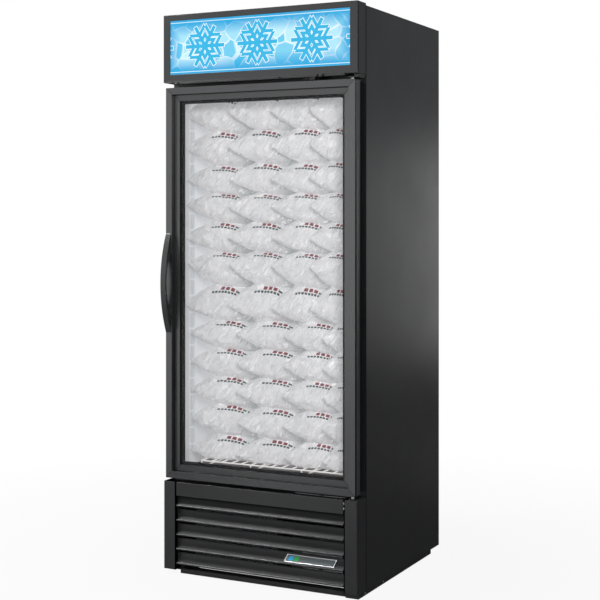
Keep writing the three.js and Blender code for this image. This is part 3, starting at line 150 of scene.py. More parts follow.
def paint(names, material):
    """Gives CAD nodes a material."""
    for name in names.split():
        mesh = nodes[name].data
        if not mesh.materials:
            mesh.materials.append(material)
        for slot in nodes[name].material_slots:
            slot.material = material


# ---- Materials ----------------------------------------------------------------------------------
# Powder coat on folded steel: satin, with a faint orange peel about 3 mm across. Faint lines of
# painted shade run up the outer sides of the panels, the header and the trims. The corner trims
# also take painted shade at their joints with the grille, and the header's folds are rounder.
COAT = (("#131416", "#1C1D1F"), (0.3, 0.4), 0.003, 0.00004)
powder_coat = finish("black_powder_coat", *COAT, edge=0.0012)
trim_coat = finish("black_powder_coat_on_trims", *COAT, edge=0.0012)
header_coat = finish("black_powder_coat_on_folds", *COAT, edge=0.004)
# The louvred grille's coat is a little darker, painted shade for its hollow louvres, and flows out
# smoother on the blades.
grille_coat = finish(
    "semi_gloss_black_powder_coat",
    ("#0B0C0D", "#131415"),
    (0.3, 0.36),
    0.003,
    0.00002,
    edge=0.002,
)
# The same coat on the base frame, thinner, dull and a little dusty.
base_coat = finish(
    "dull_black_base_paint", ("#0E0F10", "#1B1B1C"), (0.55, 0.75), 0.004, 0.00006, edge=0.001
)
# Black anodised aluminium extrusion: fine die lines run along each member, drawn 1.2 mm apart.
stile_metal = finish(
    "black_anodised_aluminium_upright",
    ("#1A1B1D", "#26272A"),
    (0.26, 0.36),
    0.0012,
    0.00002,
    stretch=(1, 1, 0.02),
    edge=0.001,
    **{"Coat Weight": 0.7, "Coat Roughness": 0.3},
)
# The levels' copy is a little darker than the uprights', with less coat: painted shade.
rail_metal = finish(
    "black_anodised_aluminium_level",
    ("#18191B", "#232427"),
    (0.26, 0.36),
    0.0012,
    0.00002,
    stretch=(0.02, 1, 1),
    edge=0.001,
    **{"Coat Weight": 0.35, "Coat Roughness": 0.3},
)


def darken(material, line):
    """Makes a finish black and dull where line is 1: for the door frame's real mitre joints, and
    for painted shade in seams, at the grille's joints and where the door's lip steps back.
    """
    tree = material.node_tree
    shader = next(n for n in tree.nodes if n.bl_idname == "ShaderNodeBsdfPrincipled")
    colour = shader.inputs["Base Color"]
    dark = blend_colours(tree, line, colour.links[0].from_socket, linear("#040404"))
    tree.links.new(dark, colour)
    for name in ("Specular IOR Level", "Coat Weight"):
        weight = shader.inputs[name].default_value
        dull = node(tree, "MapRange", {0: line, "To Min": weight, "To Max": 0.0})
        tree.links.new(dull.outputs[0], shader.inputs[name])


def add_mitres_and_shade_lines(material):
    """Adds the door frame's dark hairline mitres, which are real joints, to a finish, and painted
    shade:
    a hairline where its lip steps back, and a band round its outer edge, just behind the lip. They
    follow from the inset from the frame's outer edge: across from its sides, and up or down from
    its ends."""
    step_shade_inset = 0.0248
    hairline = 0.0006
    rear_shade_middle, rear_half = 0.006, 0.005  # middle of the painted shade band behind the frame's front, and half its width
    tree = material.node_tree
    low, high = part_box("door_stile_right")
    middle, half = (low.z + high.z) / 2, (high.z - low.z) / 2
    place = node(tree, "SeparateXYZ", {0: node(tree, "TexCoord").outputs["Object"]})
    side = node(tree, "Math", {0: place.outputs["X"]}, operation="ABSOLUTE")
    side = node(tree, "Math", {0: high.x, 1: side}, operation="SUBTRACT")
    height = node(tree, "Math", {0: place.outputs["Z"], 1: middle}, operation="SUBTRACT")
    height = node(tree, "Math", {0: height}, operation="ABSOLUTE")
    end = node(tree, "Math", {0: half, 1: height}, operation="SUBTRACT")
    mitre = node(tree, "Math", {0: side, 1: end, 2: 0.0007}, operation="COMPARE")
    inset = node(tree, "Math", {0: side, 1: end}, operation="MINIMUM")
    # Painted shade where the lip steps back.
    step_shade = node(tree, "Math", {0: inset, 1: step_shade_inset, 2: hairline}, operation="COMPARE")
    outer = node(tree, "Math", {0: inset, 1: 0.0008}, operation="LESS_THAN")
    behind = {0: place.outputs["Y"], 1: low.y + rear_shade_middle, 2: rear_half}
    rear = node(tree, "Math", behind, operation="COMPARE")
    edge = node(tree, "Math", {0: outer, 1: rear}, operation="MULTIPLY")
    line = node(tree, "Math", {0: mitre, 1: step_shade}, operation="MAXIMUM")
    darken(material, node(tree, "Math", {0: line, 1: edge}, operation="MAXIMUM"))


def paint_seam_shade(material):
    """Adds two faint dark lines up the outer sides of the header, the trims and the panels to a
    finish:
    a painted dark reflection behind the rounded fold at the front, and painted shade in the gap
    where the header and the trims meet the side panels."""
    low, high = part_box("side_panel_right")
    tree = material.node_tree
    place = node(tree, "SeparateXYZ", {0: node(tree, "TexCoord").outputs["Object"]})
    depth = place.outputs["Y"]
    side = node(tree, "Math", {0: place.outputs["X"]}, operation="ABSOLUTE")
    outer = node(tree, "Math", {0: side, 1: high.x - 0.001}, operation="GREATER_THAN")
    # Painted dark reflection behind the front fold, and painted shade in the gap at the side
    # panels.
    fold = node(tree, "Math", {0: depth, 1: FACE + 0.006, 2: 0.004}, operation="COMPARE")
    joint_shade = node(tree, "Math", {0: depth, 1: low.y, 2: 0.0045}, operation="COMPARE")
    both = node(tree, "Math", {0: fold, 1: joint_shade}, operation="MAXIMUM")
    faint = node(tree, "Math", {0: both, 1: 0.75}, operation="MULTIPLY")
    line = node(tree, "Math", {0: faint, 1: outer}, operation="MULTIPLY")
    darken(material, line)


def paint_joint_shade(material):
    """Adds painted shade at the joints between the grille and its trims, where the trims' folds lie
    in shadow, to a finish.
    """
    tree = material.node_tree
    place = node(tree, "SeparateXYZ", {0: node(tree, "TexCoord").outputs["Object"]})
    side = node(tree, "Math", {0: place.outputs["X"]}, operation="ABSOLUTE")
    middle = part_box("corner_trim_right")[0].x
    darken(material, node(tree, "Math", {0: side, 1: middle, 2: 0.0035}, operation="COMPARE"))


# Real mitre joints on the door frame, and painted shade in lines on the door frame and the coats.
add_mitres_and_shade_lines(stile_metal)
add_mitres_and_shade_lines(rail_metal)
paint_seam_shade(powder_coat)
paint_seam_shade(header_coat)
paint_seam_shade(trim_coat)
paint_joint_shade(trim_coat)
paint_joint_shade(grille_coat)
# Moulded black plastic of the fan blades, the dial and the small fittings: even, low sheen.
moulded_black = finish(
    "moulded_black_abs", ("#0B0B0C", "#131314"), (0.4, 0.52), 0.0015, 0.00003, edge=0.0008
)
# Glass-filled nylon of the handle: fine spark-eroded texture about 1 mm across.
handle_nylon = finish(
    "textured_black_nylon", ("#1B1C1D", "#262728"), (0.32, 0.44), 0.001, 0.00005, edge=0.0025
)
# Soft extruded rubber: matt, with a slight bloom in patches.
gasket_rubber = finish(
    "extruded_black_rubber", ("#080808", "#121213"), (0.6, 0.8), 0.002, 0.00003, patch=0.05
)
# White baked enamel on the aluminium liner: satin, with a soft ripple of rolled sheet. Its weak
# glow is the light that the white walls and bags throw at each other.
liner_enamel = finish(
    "white_baked_enamel",
    ("#D6D8DA", "#E0E2E4"),
    (0.45, 0.55),
    0.02,
    0.0001,
    patch=0.3,
    **{"Emission Color": linear("#E4E4E4"), "Emission Strength": 0.22},
)
# Stainless floor: brushed from side to side in lines drawn 1.5 mm apart; its tones are darkened
# with painted shade.
floor_stainless = finish(
    "brushed_stainless",
    ("#4A444C", "#655F68"),
    (0.25, 0.42),
    0.0015,
    0.00002,
    stretch=(0.02, 1, 1),
    Metallic=1.0,
)
# Hot-dip galvanised sheet: flat spangles about 9 mm across.
galvanised = finish(
    "galvanised_spangle",
    ("#A0A4A8", "#B4B8BC"),
    (0.38, 0.48),
    0.009,
    0.00001,
    cells=True,
    Metallic=1.0,
)
# Bright zinc plate on turned and pressed steel.
zinc_plate = finish(
    "bright_zinc_plate",
    ("#8E9090", "#B9BBB9"),
    (0.22, 0.38),
    0.002,
    0.00002,
    edge=0.0006,
    Metallic=1.0,
)
# Foamed polyurethane: pale yellow, with cells drawn 4 mm across.
foam = finish("polyurethane_foam", ("#C9B478", "#E2D19C"), (0.8, 0.95), 0.004, 0.0006, cells=True)
# Corrugated fin stock of the coils.
fin_stock = finish(
    "fin_aluminium",
    ("#8D9195", "#B6BABD"),
    (0.3, 0.45),
    0.002,
    0.00003,
    stretch=(1, 1, 0.1),
    Metallic=1.0,
)
# Drawn copper tube, darkened in patches where it was brazed.
copper_tube = finish(
    "drawn_copper", ("#7A452A", "#C07A50"), (0.25, 0.45), 0.003, 0.00002, patch=0.06, Metallic=1.0
)
# Natural nylon of the hinge bushes.
white_nylon = finish("natural_nylon", ("#DEDCD2", "#F0EFE8"), (0.35, 0.45), 0.0015, 0.00002)
# Thick white plastic dip on the rack's wires. Its glow is painted light, for light from the ice and
# the walls round it.
dipped_wire = finish(
    "white_plastic_dip",
    ("#E6E4E0", "#F6F4F0"),
    (0.25, 0.38),
    0.006,
    0.0001,
    **{"Emission Color": linear("#F6F3EE"), "Emission Strength": 0.3},
)
# Matt grey lacquer of the bare badge plate, with lines from end to end.
badge_grey = finish(
    "grey_lacquered_plate",
    ("#454C4E", "#586062"),
    (0.35, 0.45),
    0.001,
    0.00001,
    stretch=(0.03, 1, 1),
)
# Enamel fields of the badge.
enamel_blue = finish("blue_enamel", ("#2F8FC0", "#3FA4D4"), (0.15, 0.25), 0.004, 0.00001)
enamel_green = finish("green_enamel", ("#2E8F45", "#3DA755"), (0.15, 0.25), 0.004, 0.00001)
# Black oxide on screw heads and small fittings.
black_oxide = finish(
    "black_oxide_steel",
    ("#060607", "#111112"),
    (0.35, 0.5),
    0.002,
    0.00002,
    edge=0.0004,
    Metallic=0.6,
)
# Polished bead round the badge.
bright_metal = finish(
    "polished_aluminium", ("#C8CACC", "#E6E8E8"), (0.25, 0.35), 0.002, 0.000005, Metallic=1.0
)


def door_glass():
    """Clear coated glass: it lets nearly all light through, and mirrors little, with faint
    wiping marks in the gloss."""
    material, tree, out = blank("coated_clear_glass")
    place = node(tree, "TexCoord").outputs["Object"]
    marks = node(tree, "TexNoise", {"Vector": place, "Scale": 9.0, "Detail": 4.0})
    rough = node(tree, "MapRange", {0: marks, "To Min": 0.01, "To Max": 0.06})
    clear = node(tree, "BsdfTransparent", {"Color": (1, 1, 1, 1)})
    shine = node(tree, "BsdfGlossy", {"Color": linear("#C8CED0"), "Roughness": rough})
    mirror = node(tree, "Fresnel", {"IOR": 1.12})
    mixed = node(tree, "MixShader", {0: mirror, 1: clear, 2: shine})
    tree.links.new(mixed.outputs[0], out.inputs[0])
    return material


def led_strip():
    """White diffuser of a lamp bar, with a brighter spot at each diode."""
    diode_pitch = 0.06
    material, tree, out = blank("led_diffuser")
    place = node(tree, "SeparateXYZ", {0: node(tree, "TexCoord").outputs["Object"]})
    along = node(tree, "Math", {0: place.outputs["Z"], 1: 1 / diode_pitch}, operation="MULTIPLY")
    turn = node(tree, "Math", {0: along}, operation="FRACT")
    off = node(tree, "Math", {0: turn, 1: 0.5}, operation="SUBTRACT")
    away = node(tree, "Math", {0: off}, operation="ABSOLUTE")
    glow = node(
        tree,
        "MapRange",
        {0: away, "From Min": 0.02, "From Max": 0.08, "To Min": 0.25, "To Max": 0.12},
    )
    shader = node(
        tree,
        "BsdfPrincipled",
        {
            "Base Color": linear("#D4D6D8"),
            "Roughness": 0.6,
            "Emission Color": linear("#F3F8FF"),
            "Emission Strength": glow,
        },
    )
    tree.links.new(shader.outputs[0], out.inputs[0])
    return material


def sign_print():
    """Backlit print: facets of ice about 45 mm across with white rims, pale in the middle of the
    sign and deep blue towards its edge, where two thin white lines run along it. On them stands a
    row of large six-armed crystals with white outlines. A crystal repeats every 60 degrees, so its
    place is turned into one folded arm."""
    pale_half = 0.27  # half the length of the pale middle
    pitch = 0.21  # from one crystal to the next
    arm_length = 0.072
    material, tree, out = blank("backlit_ice_print")
    low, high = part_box("sign_panel")
    middle = (low.z + high.z) / 2
    half = (high.z - low.z) / 2
    place = node(tree, "SeparateXYZ", {0: node(tree, "TexCoord").outputs["Object"]})
    x = place.outputs["X"]
    rise = node(tree, "Math", {0: place.outputs["Z"], 1: middle}, operation="SUBTRACT")
    flat = node(tree, "CombineXYZ", {0: x, 1: rise})
    bent = node(tree, "TexNoise", {"Vector": flat, "Scale": 14.0, "Detail": 1.0})
    shifted = node(
        tree,
        "VectorMath",
        {0: bent.outputs["Color"], 1: (0.03, 0.03, 0.0), 2: flat},
        operation="MULTIPLY_ADD",
    )
    grid = {"Vector": shifted, "Scale": 19.0, "Randomness": 0.95}
    facets = node(tree, "SeparateColor", {0: node(tree, "TexVoronoi", grid).outputs["Color"]})
    edges = node(tree, "TexVoronoi", grid, feature="DISTANCE_TO_EDGE")
    rim = node(tree, "MapRange", {0: edges, "From Max": 0.07, "To Min": 0.9, "To Max": 0.0})
    blues = blend_colours(tree, facets, linear("#38BEE8"), linear("#C2EEFA"))
    ice = blend_colours(tree, rim, blues, linear("#EEFAFE"))
    level = node(tree, "Math", {0: rise}, operation="ABSOLUTE")
    side = node(tree, "Math", {0: x}, operation="ABSOLUTE")
    end = node(tree, "Math", {0: side, 1: pale_half}, operation="SUBTRACT")
    away = node(tree, "Math", {0: level, 1: end}, operation="MAXIMUM")
    deep = node(
        tree,
        "MapRange",
        {0: away, "From Min": 0.35 * half, "From Max": 0.8 * half, "To Min": 0.0, "To Max": 0.95},
    )
    ground = blend_colours(tree, deep, ice, linear("#08A2DA"))
    border = node(tree, "Math", {0: level, 1: 0.86 * half, 2: 0.0012}, operation="COMPARE")
    ground = blend_colours(tree, border, ground, linear("#D8F2FC"))

    step = node(tree, "Math", {0: x, 1: pitch / 2}, operation="ADD")
    fold = node(tree, "Math", {0: step, 1: pitch, 2: 0.0}, operation="WRAP")
    near = node(tree, "Math", {0: fold, 1: pitch / 2}, operation="SUBTRACT")
    turn = node(tree, "Math", {0: rise, 1: near}, operation="ARCTAN2")
    arm = node(tree, "Math", {0: turn, 1: math.pi / 6}, operation="PINGPONG")
    spot = node(tree, "CombineXYZ", {0: near, 1: rise})
    radius = node(tree, "VectorMath", {0: spot}, operation="LENGTH").outputs["Value"]
    cosine = node(tree, "Math", {0: arm}, operation="COSINE")
    sine = node(tree, "Math", {0: arm}, operation="SINE")
    along = node(tree, "Math", {0: radius, 1: cosine}, operation="MULTIPLY")
    across = node(tree, "Math", {0: radius, 1: sine}, operation="MULTIPLY")
    printed = ground
    for width, colour in ((0.0085, "#F4FCFF"), (0.0065, "#22B2E0")):
        crystal = node(tree, "Math", {0: across, 1: width}, operation="LESS_THAN")
        for start, length in ((0.024, 0.026), (0.044, 0.028)):
            # a barb leaves the arm at start, at 60 degrees to it, and reaches length across
            slide = node(tree, "Math", {0: across, 1: 0.577, 2: start}, operation="MULTIPLY_ADD")
            gap = node(tree, "Math", {0: along, 1: slide, 2: width}, operation="COMPARE")
            inside = node(tree, "Math", {0: across, 1: length + width}, operation="LESS_THAN")
            barb = node(tree, "Math", {0: gap, 1: inside}, operation="MULTIPLY")
            crystal = node(tree, "Math", {0: crystal, 1: barb}, operation="MAXIMUM")
        bound = node(tree, "Math", {0: radius, 1: arm_length + width}, operation="LESS_THAN")
        crystal = node(tree, "Math", {0: crystal, 1: bound}, operation="MULTIPLY")
        printed = blend_colours(tree, crystal, printed, linear(colour))
    shader = node(
        tree,
        "BsdfPrincipled",
        {
            "Base Color": blend_colours(tree, 0.85, printed, linear("#05080C")),
            "Roughness": 0.25,
            "Specular IOR Level": 0.3,
            "Emission Color": printed,
            "Emission Strength": 0.85,
        },
    )
    tree.links.new(shader.outputs[0], out.inputs[0])
    return material


def bag_film():
    """Clear poly film drawn tight over ice cubes about 28 mm across: cool white where ice lies
    behind it, with painted shade in patches, as in dents between lumps, and grey towards the tail,
    where the film is empty and painted shade falls under the next bag. Slanting creases up to 40 mm
    long are white where they catch the light, a painted highlight, and grey where they fold in,
    painted shade. The
    film also glows a little: painted light for the light scattered in the ice. Red and dark green
    printed bars run along the upper front edge. The UV map goes from the tip to the tail and round
    the bag."""
    material, tree, out = blank("poly_film_over_ice")
    coordinates = node(tree, "TexCoord")
    place = coordinates.outputs["Object"]
    across = node(tree, "SeparateXYZ", {0: coordinates.outputs["UV"]})
    u, v = across.outputs["X"], across.outputs["Y"]
    cubes = node(tree, "TexVoronoi", {"Vector": place, "Scale": 36.0}, feature="SMOOTH_F1")
    crease = {"Vector": place, "Rotation": (0.2, -1.0, 0.3), "Scale": (0.04, 0.018, 0.012)}
    slanted = node(tree, "Mapping", crease, vector_type="TEXTURE")
    creases = node(
        tree, "TexNoise", {"Vector": slanted, "Scale": 1.0, "Detail": 2.0, "Distortion": 1.2}
    )
    lumps = node(tree, "TexNoise", {"Vector": place, "Scale": 45.0, "Detail": 3.0})
    height = node(tree, "Math", {0: cubes, 1: 0.5, 2: creases}, operation="MULTIPLY_ADD")
    # The tail's grey is partly the empty film's own tone and partly painted shade under the next
    # bag; the lumps' patches are painted shade, as in dents.
    tail = node(tree, "MapRange", {0: u, "From Min": 0.55, "From Max": 0.95})
    dent = {0: lumps, "From Min": 0.35, "From Max": 0.65, "To Min": 0.22, "To Max": 0.0}
    shade = node(tree, "MapRange", dent)
    empty = node(tree, "Math", {0: tail, 1: shade}, operation="MAXIMUM")
    body = blend_colours(tree, empty, linear("#E9E8EA"), linear("#B4B9B9"))
    # Painted highlights: white where creases catch the light. Painted shade: grey where they fold
    # in.
    painted_glint = node(tree, "MapRange", {0: creases, "From Min": 0.6, "From Max": 0.68})
    fold = node(
        tree, "MapRange", {0: creases, "From Min": 0.4, "From Max": 0.3, "To Max": 0.35}
    )
    body = blend_colours(tree, painted_glint, body, linear("#FFFFFF"))
    colour = blend_colours(tree, fold, body, linear("#B2B8B9"))
    # Each group of bars: its middle and half width round the bag, its middle and half length
    # along it, its colour, and how many bars a bag's length would hold.
    for middle, half, centre, reach, hue, rate in (
        (0.122, 0.013, 0.54, 0.12, "#7C1628", 14.0),
        (0.118, 0.008, 0.74, 0.08, "#1F3A34", 14.0),
        (0.094, 0.008, 0.5, 0.18, "#1F3A34", 22.0),
    ):
        inside_u = node(tree, "Math", {0: u, 1: centre, 2: reach}, operation="COMPARE")
        inside_v = node(tree, "Math", {0: v, 1: middle, 2: half}, operation="COMPARE")
        run = node(tree, "Math", {0: u, 1: rate}, operation="MULTIPLY")
        part = node(tree, "Math", {0: run}, operation="FRACT")
        dash = node(tree, "Math", {0: part, 1: 0.5, 2: 0.36}, operation="COMPARE")
        both = node(tree, "Math", {0: inside_u, 1: inside_v}, operation="MULTIPLY")
        mask = node(tree, "Math", {0: both, 1: dash}, operation="MULTIPLY")
        faded = node(tree, "Math", {0: mask, 1: 0.93}, operation="MULTIPLY")
        colour = blend_colours(tree, faded, colour, linear(hue))
    rough = node(tree, "MapRange", {0: lumps, "To Min": 0.3, "To Max": 0.6})
    shader = node(
        tree,
        "BsdfPrincipled",
        {
            "Base Color": colour,
            "Roughness": rough,
            "IOR": 1.5,
            "Coat Weight": 0.5,
            "Coat Roughness": 0.22,
            # The film's weak glow is painted light, for light scattered in the ice.
            "Emission Color": colour,
            "Emission Strength": 0.18,
            "Normal": node(tree, "Bump", {"Height": height, "Distance": 0.008, "Strength": 1.0}),
        },
    )
    tree.links.new(shader.outputs[0], out.inputs[0])
    return material


def face_plastic():
    """Co-extruded plastic of the face frame: black where the seal lies on it, white on the lining
    that turns back into the cabinet. The white lining glows a little: painted light, for the light
    thrown about inside the cabinet."""
    material, tree, out = blank("two_tone_breaker_plastic")
    place = node(tree, "TexCoord").outputs["Object"]
    parts = node(tree, "SeparateXYZ", {0: place})
    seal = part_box("face_frame")[0].y + 0.0006
    inner = node(tree, "Math", {0: parts.outputs["Y"], 1: seal}, operation="GREATER_THAN")
    grain = node(tree, "TexNoise", {"Vector": place, "Scale": 600.0, "Detail": 2.0})
    shader = node(
        tree,
        "BsdfPrincipled",
        {
            "Base Color": blend_colours(tree, inner, linear("#0F0F10"), linear("#DCDCDD")),
            "Roughness": node(tree, "MapRange", {0: grain, "To Min": 0.35, "To Max": 0.5}),
            # Painted light: the white lining glows a little.
            "Emission Color": linear("#E4E6E8"),
            "Emission Strength": node(tree, "Math", {0: inner, 1: 0.1}, operation="MULTIPLY"),
            "Normal": node(tree, "Bump", {"Height": grain, "Distance": 0.00003, "Strength": 1.0}),
        },
    )
    tree.links.new(shader.outputs[0], out.inputs[0])
    return material


glass = door_glass()
diodes = led_strip()
film = bag_film()
paint(
    "side_panel_left side_panel_right top_panel hinge_bracket_bottom hinge_bracket_top"
    " compressor fan_shroud",
    powder_coat,
)
paint("header_frame", header_coat)
paint("corner_trim_left corner_trim_right", trim_coat)
paint("front_grille", grille_coat)
paint("base_frame", base_coat)
paint("face_frame", face_plastic())
paint("door_stile_left door_stile_right", stile_metal)
paint("door_rail_bottom door_rail_top", rail_metal)
paint("cord_gland condenser_fan_blade evaporator_fan_blade control_dial", moulded_black)
paint("gasket_carrier glass_spacer", gasket_rubber)
paint("door_handle", handle_nylon)
paint(
    "liner_left liner_right liner_back liner_ceiling upper_front_wall evaporator_cover",
    liner_enamel,
)
paint("liner_floor", floor_stainless)
paint("back_panel rear_cover machine_tray control_box", galvanised)
paint(
    "foot_front_left foot_front_right foot_rear_left foot_rear_right condenser_fan_motor"
    " evaporator_fan_motor",
    zinc_plate,
)
paint("insulation_left insulation_right insulation_back insulation_floor insulation_top", foam)
paint("glass_outer glass_inner", glass)
paint("sign_panel", sign_print())
paint("sign_lamp led_bar_left led_bar_right", diodes)
paint("badge_plate", badge_grey)
paint("condenser_coil evaporator_coil", fin_stock)
paint("liquid_line", copper_tube)
paint("hinge_bush_bottom hinge_bush_top", white_nylon)
paint("floor_rack", dipped_wire)


# ---- Mesh tools ---------------------------------------------------------------------------------
def surface(name, points, material, closed_rows=False, closed_columns=True, uv=None, smooth=True):
    """A mesh through a grid of points, rows by columns by 3. Rows or columns may close on
    themselves. Points that coincide are merged, and faces turned outwards."""
    rows, columns = points.shape[:2]
    row = np.arange(rows if closed_rows else rows - 1)
    column = np.arange(columns if closed_columns else columns - 1)
    i, j = np.meshgrid(row, column, indexing="ij")
    i2, j2 = (i + 1) % rows, (j + 1) % columns
    corners = [i * columns + j, i * columns + j2, i2 * columns + j2, i2 * columns + j]
    faces = np.stack(corners, axis=-1).reshape(-1, 4)
    mesh = bpy.data.meshes.new(name)
    mesh.from_pydata(points.reshape(-1, 3), [], faces.tolist())
    if uv is not None:
        layer = mesh.uv_layers.new(name="UVMap")
        ends = [(i, j), (i, j + 1), (i + 1, j + 1), (i + 1, j)]
        places = np.stack([uv(a, b) for a, b in ends], axis=2).reshape(-1, 2)
        layer.data.foreach_set("uv", places.ravel())
    return piece(name, mesh, material, smooth)


def piece(name, mesh, material, smooth=True):
    """An object of that mesh, with doubles merged and faces turned outwards."""
    shape = bmesh.new()
    shape.from_mesh(mesh)
    bmesh.ops.remove_doubles(shape, verts=shape.verts, dist=1e-6)
    bmesh.ops.recalc_face_normals(shape, faces=shape.faces)
    shape.to_mesh(mesh)
    shape.free()
    mesh.polygons.foreach_set("use_smooth", np.full(len(mesh.polygons), smooth))
    mesh.materials.append(material)
    made = bpy.data.objects.new(name, mesh)
    bpy.context.scene.collection.objects.link(made)
    return made


def turned(name, profile, centre, axis, material, sides=20):
    """A turned piece: a profile of radius and height carried round an axis."""
    profile = np.array(profile)
    up = Vector(axis).normalized()
    side = up.orthogonal().normalized()
    other = up.cross(side)
    angle = np.linspace(0, 2 * math.pi, sides, endpoint=False)
    circle = np.outer(np.cos(angle), side) + np.outer(np.sin(angle), other)
    points = profile[:, None, :1] * circle[None] + profile[:, None, 1:] * np.array(up)
    return surface(name, points + np.array(centre), material, smooth=False)


def framed(name, profile, corners, material):
    """A moulding with mitred corners: a closed profile of inward and depth distances carried round
    a closed outline of corners in the front view. At a corner, a profile point moves inwards along
    the mitre."""
    corners = np.array(corners, float)
    ahead = np.roll(corners, -1, 0) - corners
    ahead /= np.linalg.norm(ahead, axis=1, keepdims=True)
    normal = np.stack([-ahead[:, 1], ahead[:, 0]], axis=1)
    before = np.roll(normal, 1, 0)
    mitre = (normal + before) / (1 + (normal * before).sum(1, keepdims=True))
    profile = np.array(profile)
    flat = corners[:, None] + profile[None, :, :1] * mitre[:, None]
    depth = np.broadcast_to(profile[None, :, 1:], (len(corners), len(profile), 1))
    points = np.concatenate([flat[..., :1], depth, flat[..., 1:]], axis=-1)
    return surface(name, points, material, closed_rows=True, smooth=False)


def rounded(profile, times=2):
    """A closed profile with its corners cut at a quarter of each side, a number of times."""
    points = np.array(profile, float)
    for _ in range(times):
        ahead = np.roll(points, -1, 0)
        points = np.stack([0.75 * points + 0.25 * ahead, 0.25 * points + 0.75 * ahead], 1)
        points = points.reshape(-1, 2)
    return points


# ---- Bags of ice --------------------------------------------------------------------------------
# Heights of the left tips of the rows, from the top one down.
TIP_HEIGHTS = (1.650, 1.526, 1.412, 1.317, 1.203, 1.108, 0.958, 0.859, 0.753, 0.650, 0.545, 0.434)
UPPER_TIPS = (-0.337, -0.162, 0.007, 0.162)  # left tips of the bags of the seven upper rows
LOWER_TIPS = (-0.319, -0.132, 0.057, 0.208)  # and of the five lower rows
UPPER_ROWS = 7
WALL = 0.3385  # bags stop short of the side liners
RACK_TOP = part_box("floor_rack")[1].z + 0.0004
PANE_GAP = 0.078  # nothing of a bag is nearer to the door's face
BAG_FRONT = 0.088  # a bag's tip and its front behind the door's face
BAG_DEPTH = 0.09  # half the depth of a bag at its middle
BAG_SLANT = 0.06  # how much deeper its tail lies
BAG_SAG = 0.025  # and how much lower
BAG_TUCK = 0.02  # and how far its end is tucked in
BAG_OVERLAP = 0.085  # a tail reaches past the next bag's tip
HEAD_ROOM, RACK_ROOM = 0.07, 0.05  # above the top row's tips and below the bottom row's
CROWN, BELLY = 1.3, 1.12  # a bag's height above and below its tip, as shares of its room
LUMP = 0.006  # height of its lumps and of its creases
RINGS, RING_POINTS = 61, 44
draw = np.random.default_rng(20)


def ripples(points, waves, shortest, longest, lean):
    """Means of sine waves over the points, in random directions, with lean as the weight of each
    axis. The first mean is smooth. The second takes 0.5 less the root of each wave's size, so it
    has sharp ridges."""
    direction = draw.normal(size=(waves, 3)) * lean
    direction /= np.linalg.norm(direction, axis=1, keepdims=True)
    number = 2 * math.pi / draw.uniform(shortest, longest, waves)
    phase = draw.uniform(0, 2 * math.pi, waves)
    angle = points @ (direction * number[:, None]).T + phase
    return np.sin(angle).mean(-1), 0.5 - np.sqrt(np.abs(np.sin(angle / 2))).mean(-1)


def ice_bag(name, tip, length, up, down):
    """A tied bag lying across the cabinet. Along it runs s from -1 at the left tip to 1 at the
    tail, and round it an angle. Its section has a half ellipse as its upper part and a blunt belly
    below, whose size falls to nothing at both ends as (1 - s^2)^0.72. Its tail lies lower and
    deeper than its tip, and lumps and creases push its surface in and out."""
    s = np.linspace(-1, 1, RINGS)[:, None]
    angle = np.linspace(0, 2 * math.pi, RING_POINTS, endpoint=False)[None]
    share = (s + 1) / 2
    full = (1 - s**2).clip(0) ** 0.72
    level, rise = np.cos(angle), np.sin(angle)
    blunt = np.where(rise > 0, 1.0, 0.55)
    away = np.sign(level) * np.abs(level) ** blunt
    lift = np.where(rise > 0, up, down) * np.sign(rise) * np.abs(rise) ** 0.9
    tuck = BAG_SLANT * share + BAG_TUCK * (s > 0) * s**4
    x = tip[0] + length * share + 0 * angle
    y = FACE + tip[1] + BAG_DEPTH * (1 - away) * full + tuck
    z = tip[2] + lift * full - BAG_SAG * share**2
    points = np.stack([x, y, z], axis=-1)
    middle = points.mean(axis=1, keepdims=True)
    outward = points - middle
    outward /= np.linalg.norm(outward, axis=-1, keepdims=True).clip(1e-9)
    lumps, _ = ripples(points, 14, 0.03, 0.07, (1, 1, 1))
    _, creases = ripples(points, 7, 0.03, 0.07, (1.5, 0.3, 0.9))
    push = LUMP * (lumps + creases) * full**0.5
    points = points + outward * push[..., None]
    points[..., 0] = points[..., 0].clip(-WALL, WALL)
    points[..., 1] = points[..., 1].clip(FACE + PANE_GAP, None)
    points[..., 2] = points[..., 2].clip(RACK_TOP, None)
    ends = RINGS - 1
    bag = surface(
        name, points, film, uv=lambda i, j: np.stack([i / ends, j / RING_POINTS], axis=-1)
    )
    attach(bag, "cabinet")


def bag_stack():
    """Rows of bags from the rack to the head of the opening. A row's bags reach a little past half
    of the way to the rows above and below, as they press into each other."""
    heights = np.array(TIP_HEIGHTS)
    steps = -np.diff(heights)
    above = np.concatenate([[HEAD_ROOM], steps / 2])
    below = np.concatenate([steps / 2, [RACK_ROOM]])
    for row, height in enumerate(heights):
        tips = UPPER_TIPS if row < UPPER_ROWS else LOWER_TIPS
        ends = [*tips[1:], WALL - 0.08]
        for column, (left, right) in enumerate(zip(tips, ends)):
            shift = draw.uniform(-0.003, 0.003, 3)
            length = min(right - left + BAG_OVERLAP, WALL - left)
            tip = (left + shift[0], BAG_FRONT + shift[1], height + shift[2])
            up, down = CROWN * above[row], BELLY * below[row]
            ice_bag(f"ice_bag_{row + 1}_{column + 1}", tip, length, up, down)


bag_stack()


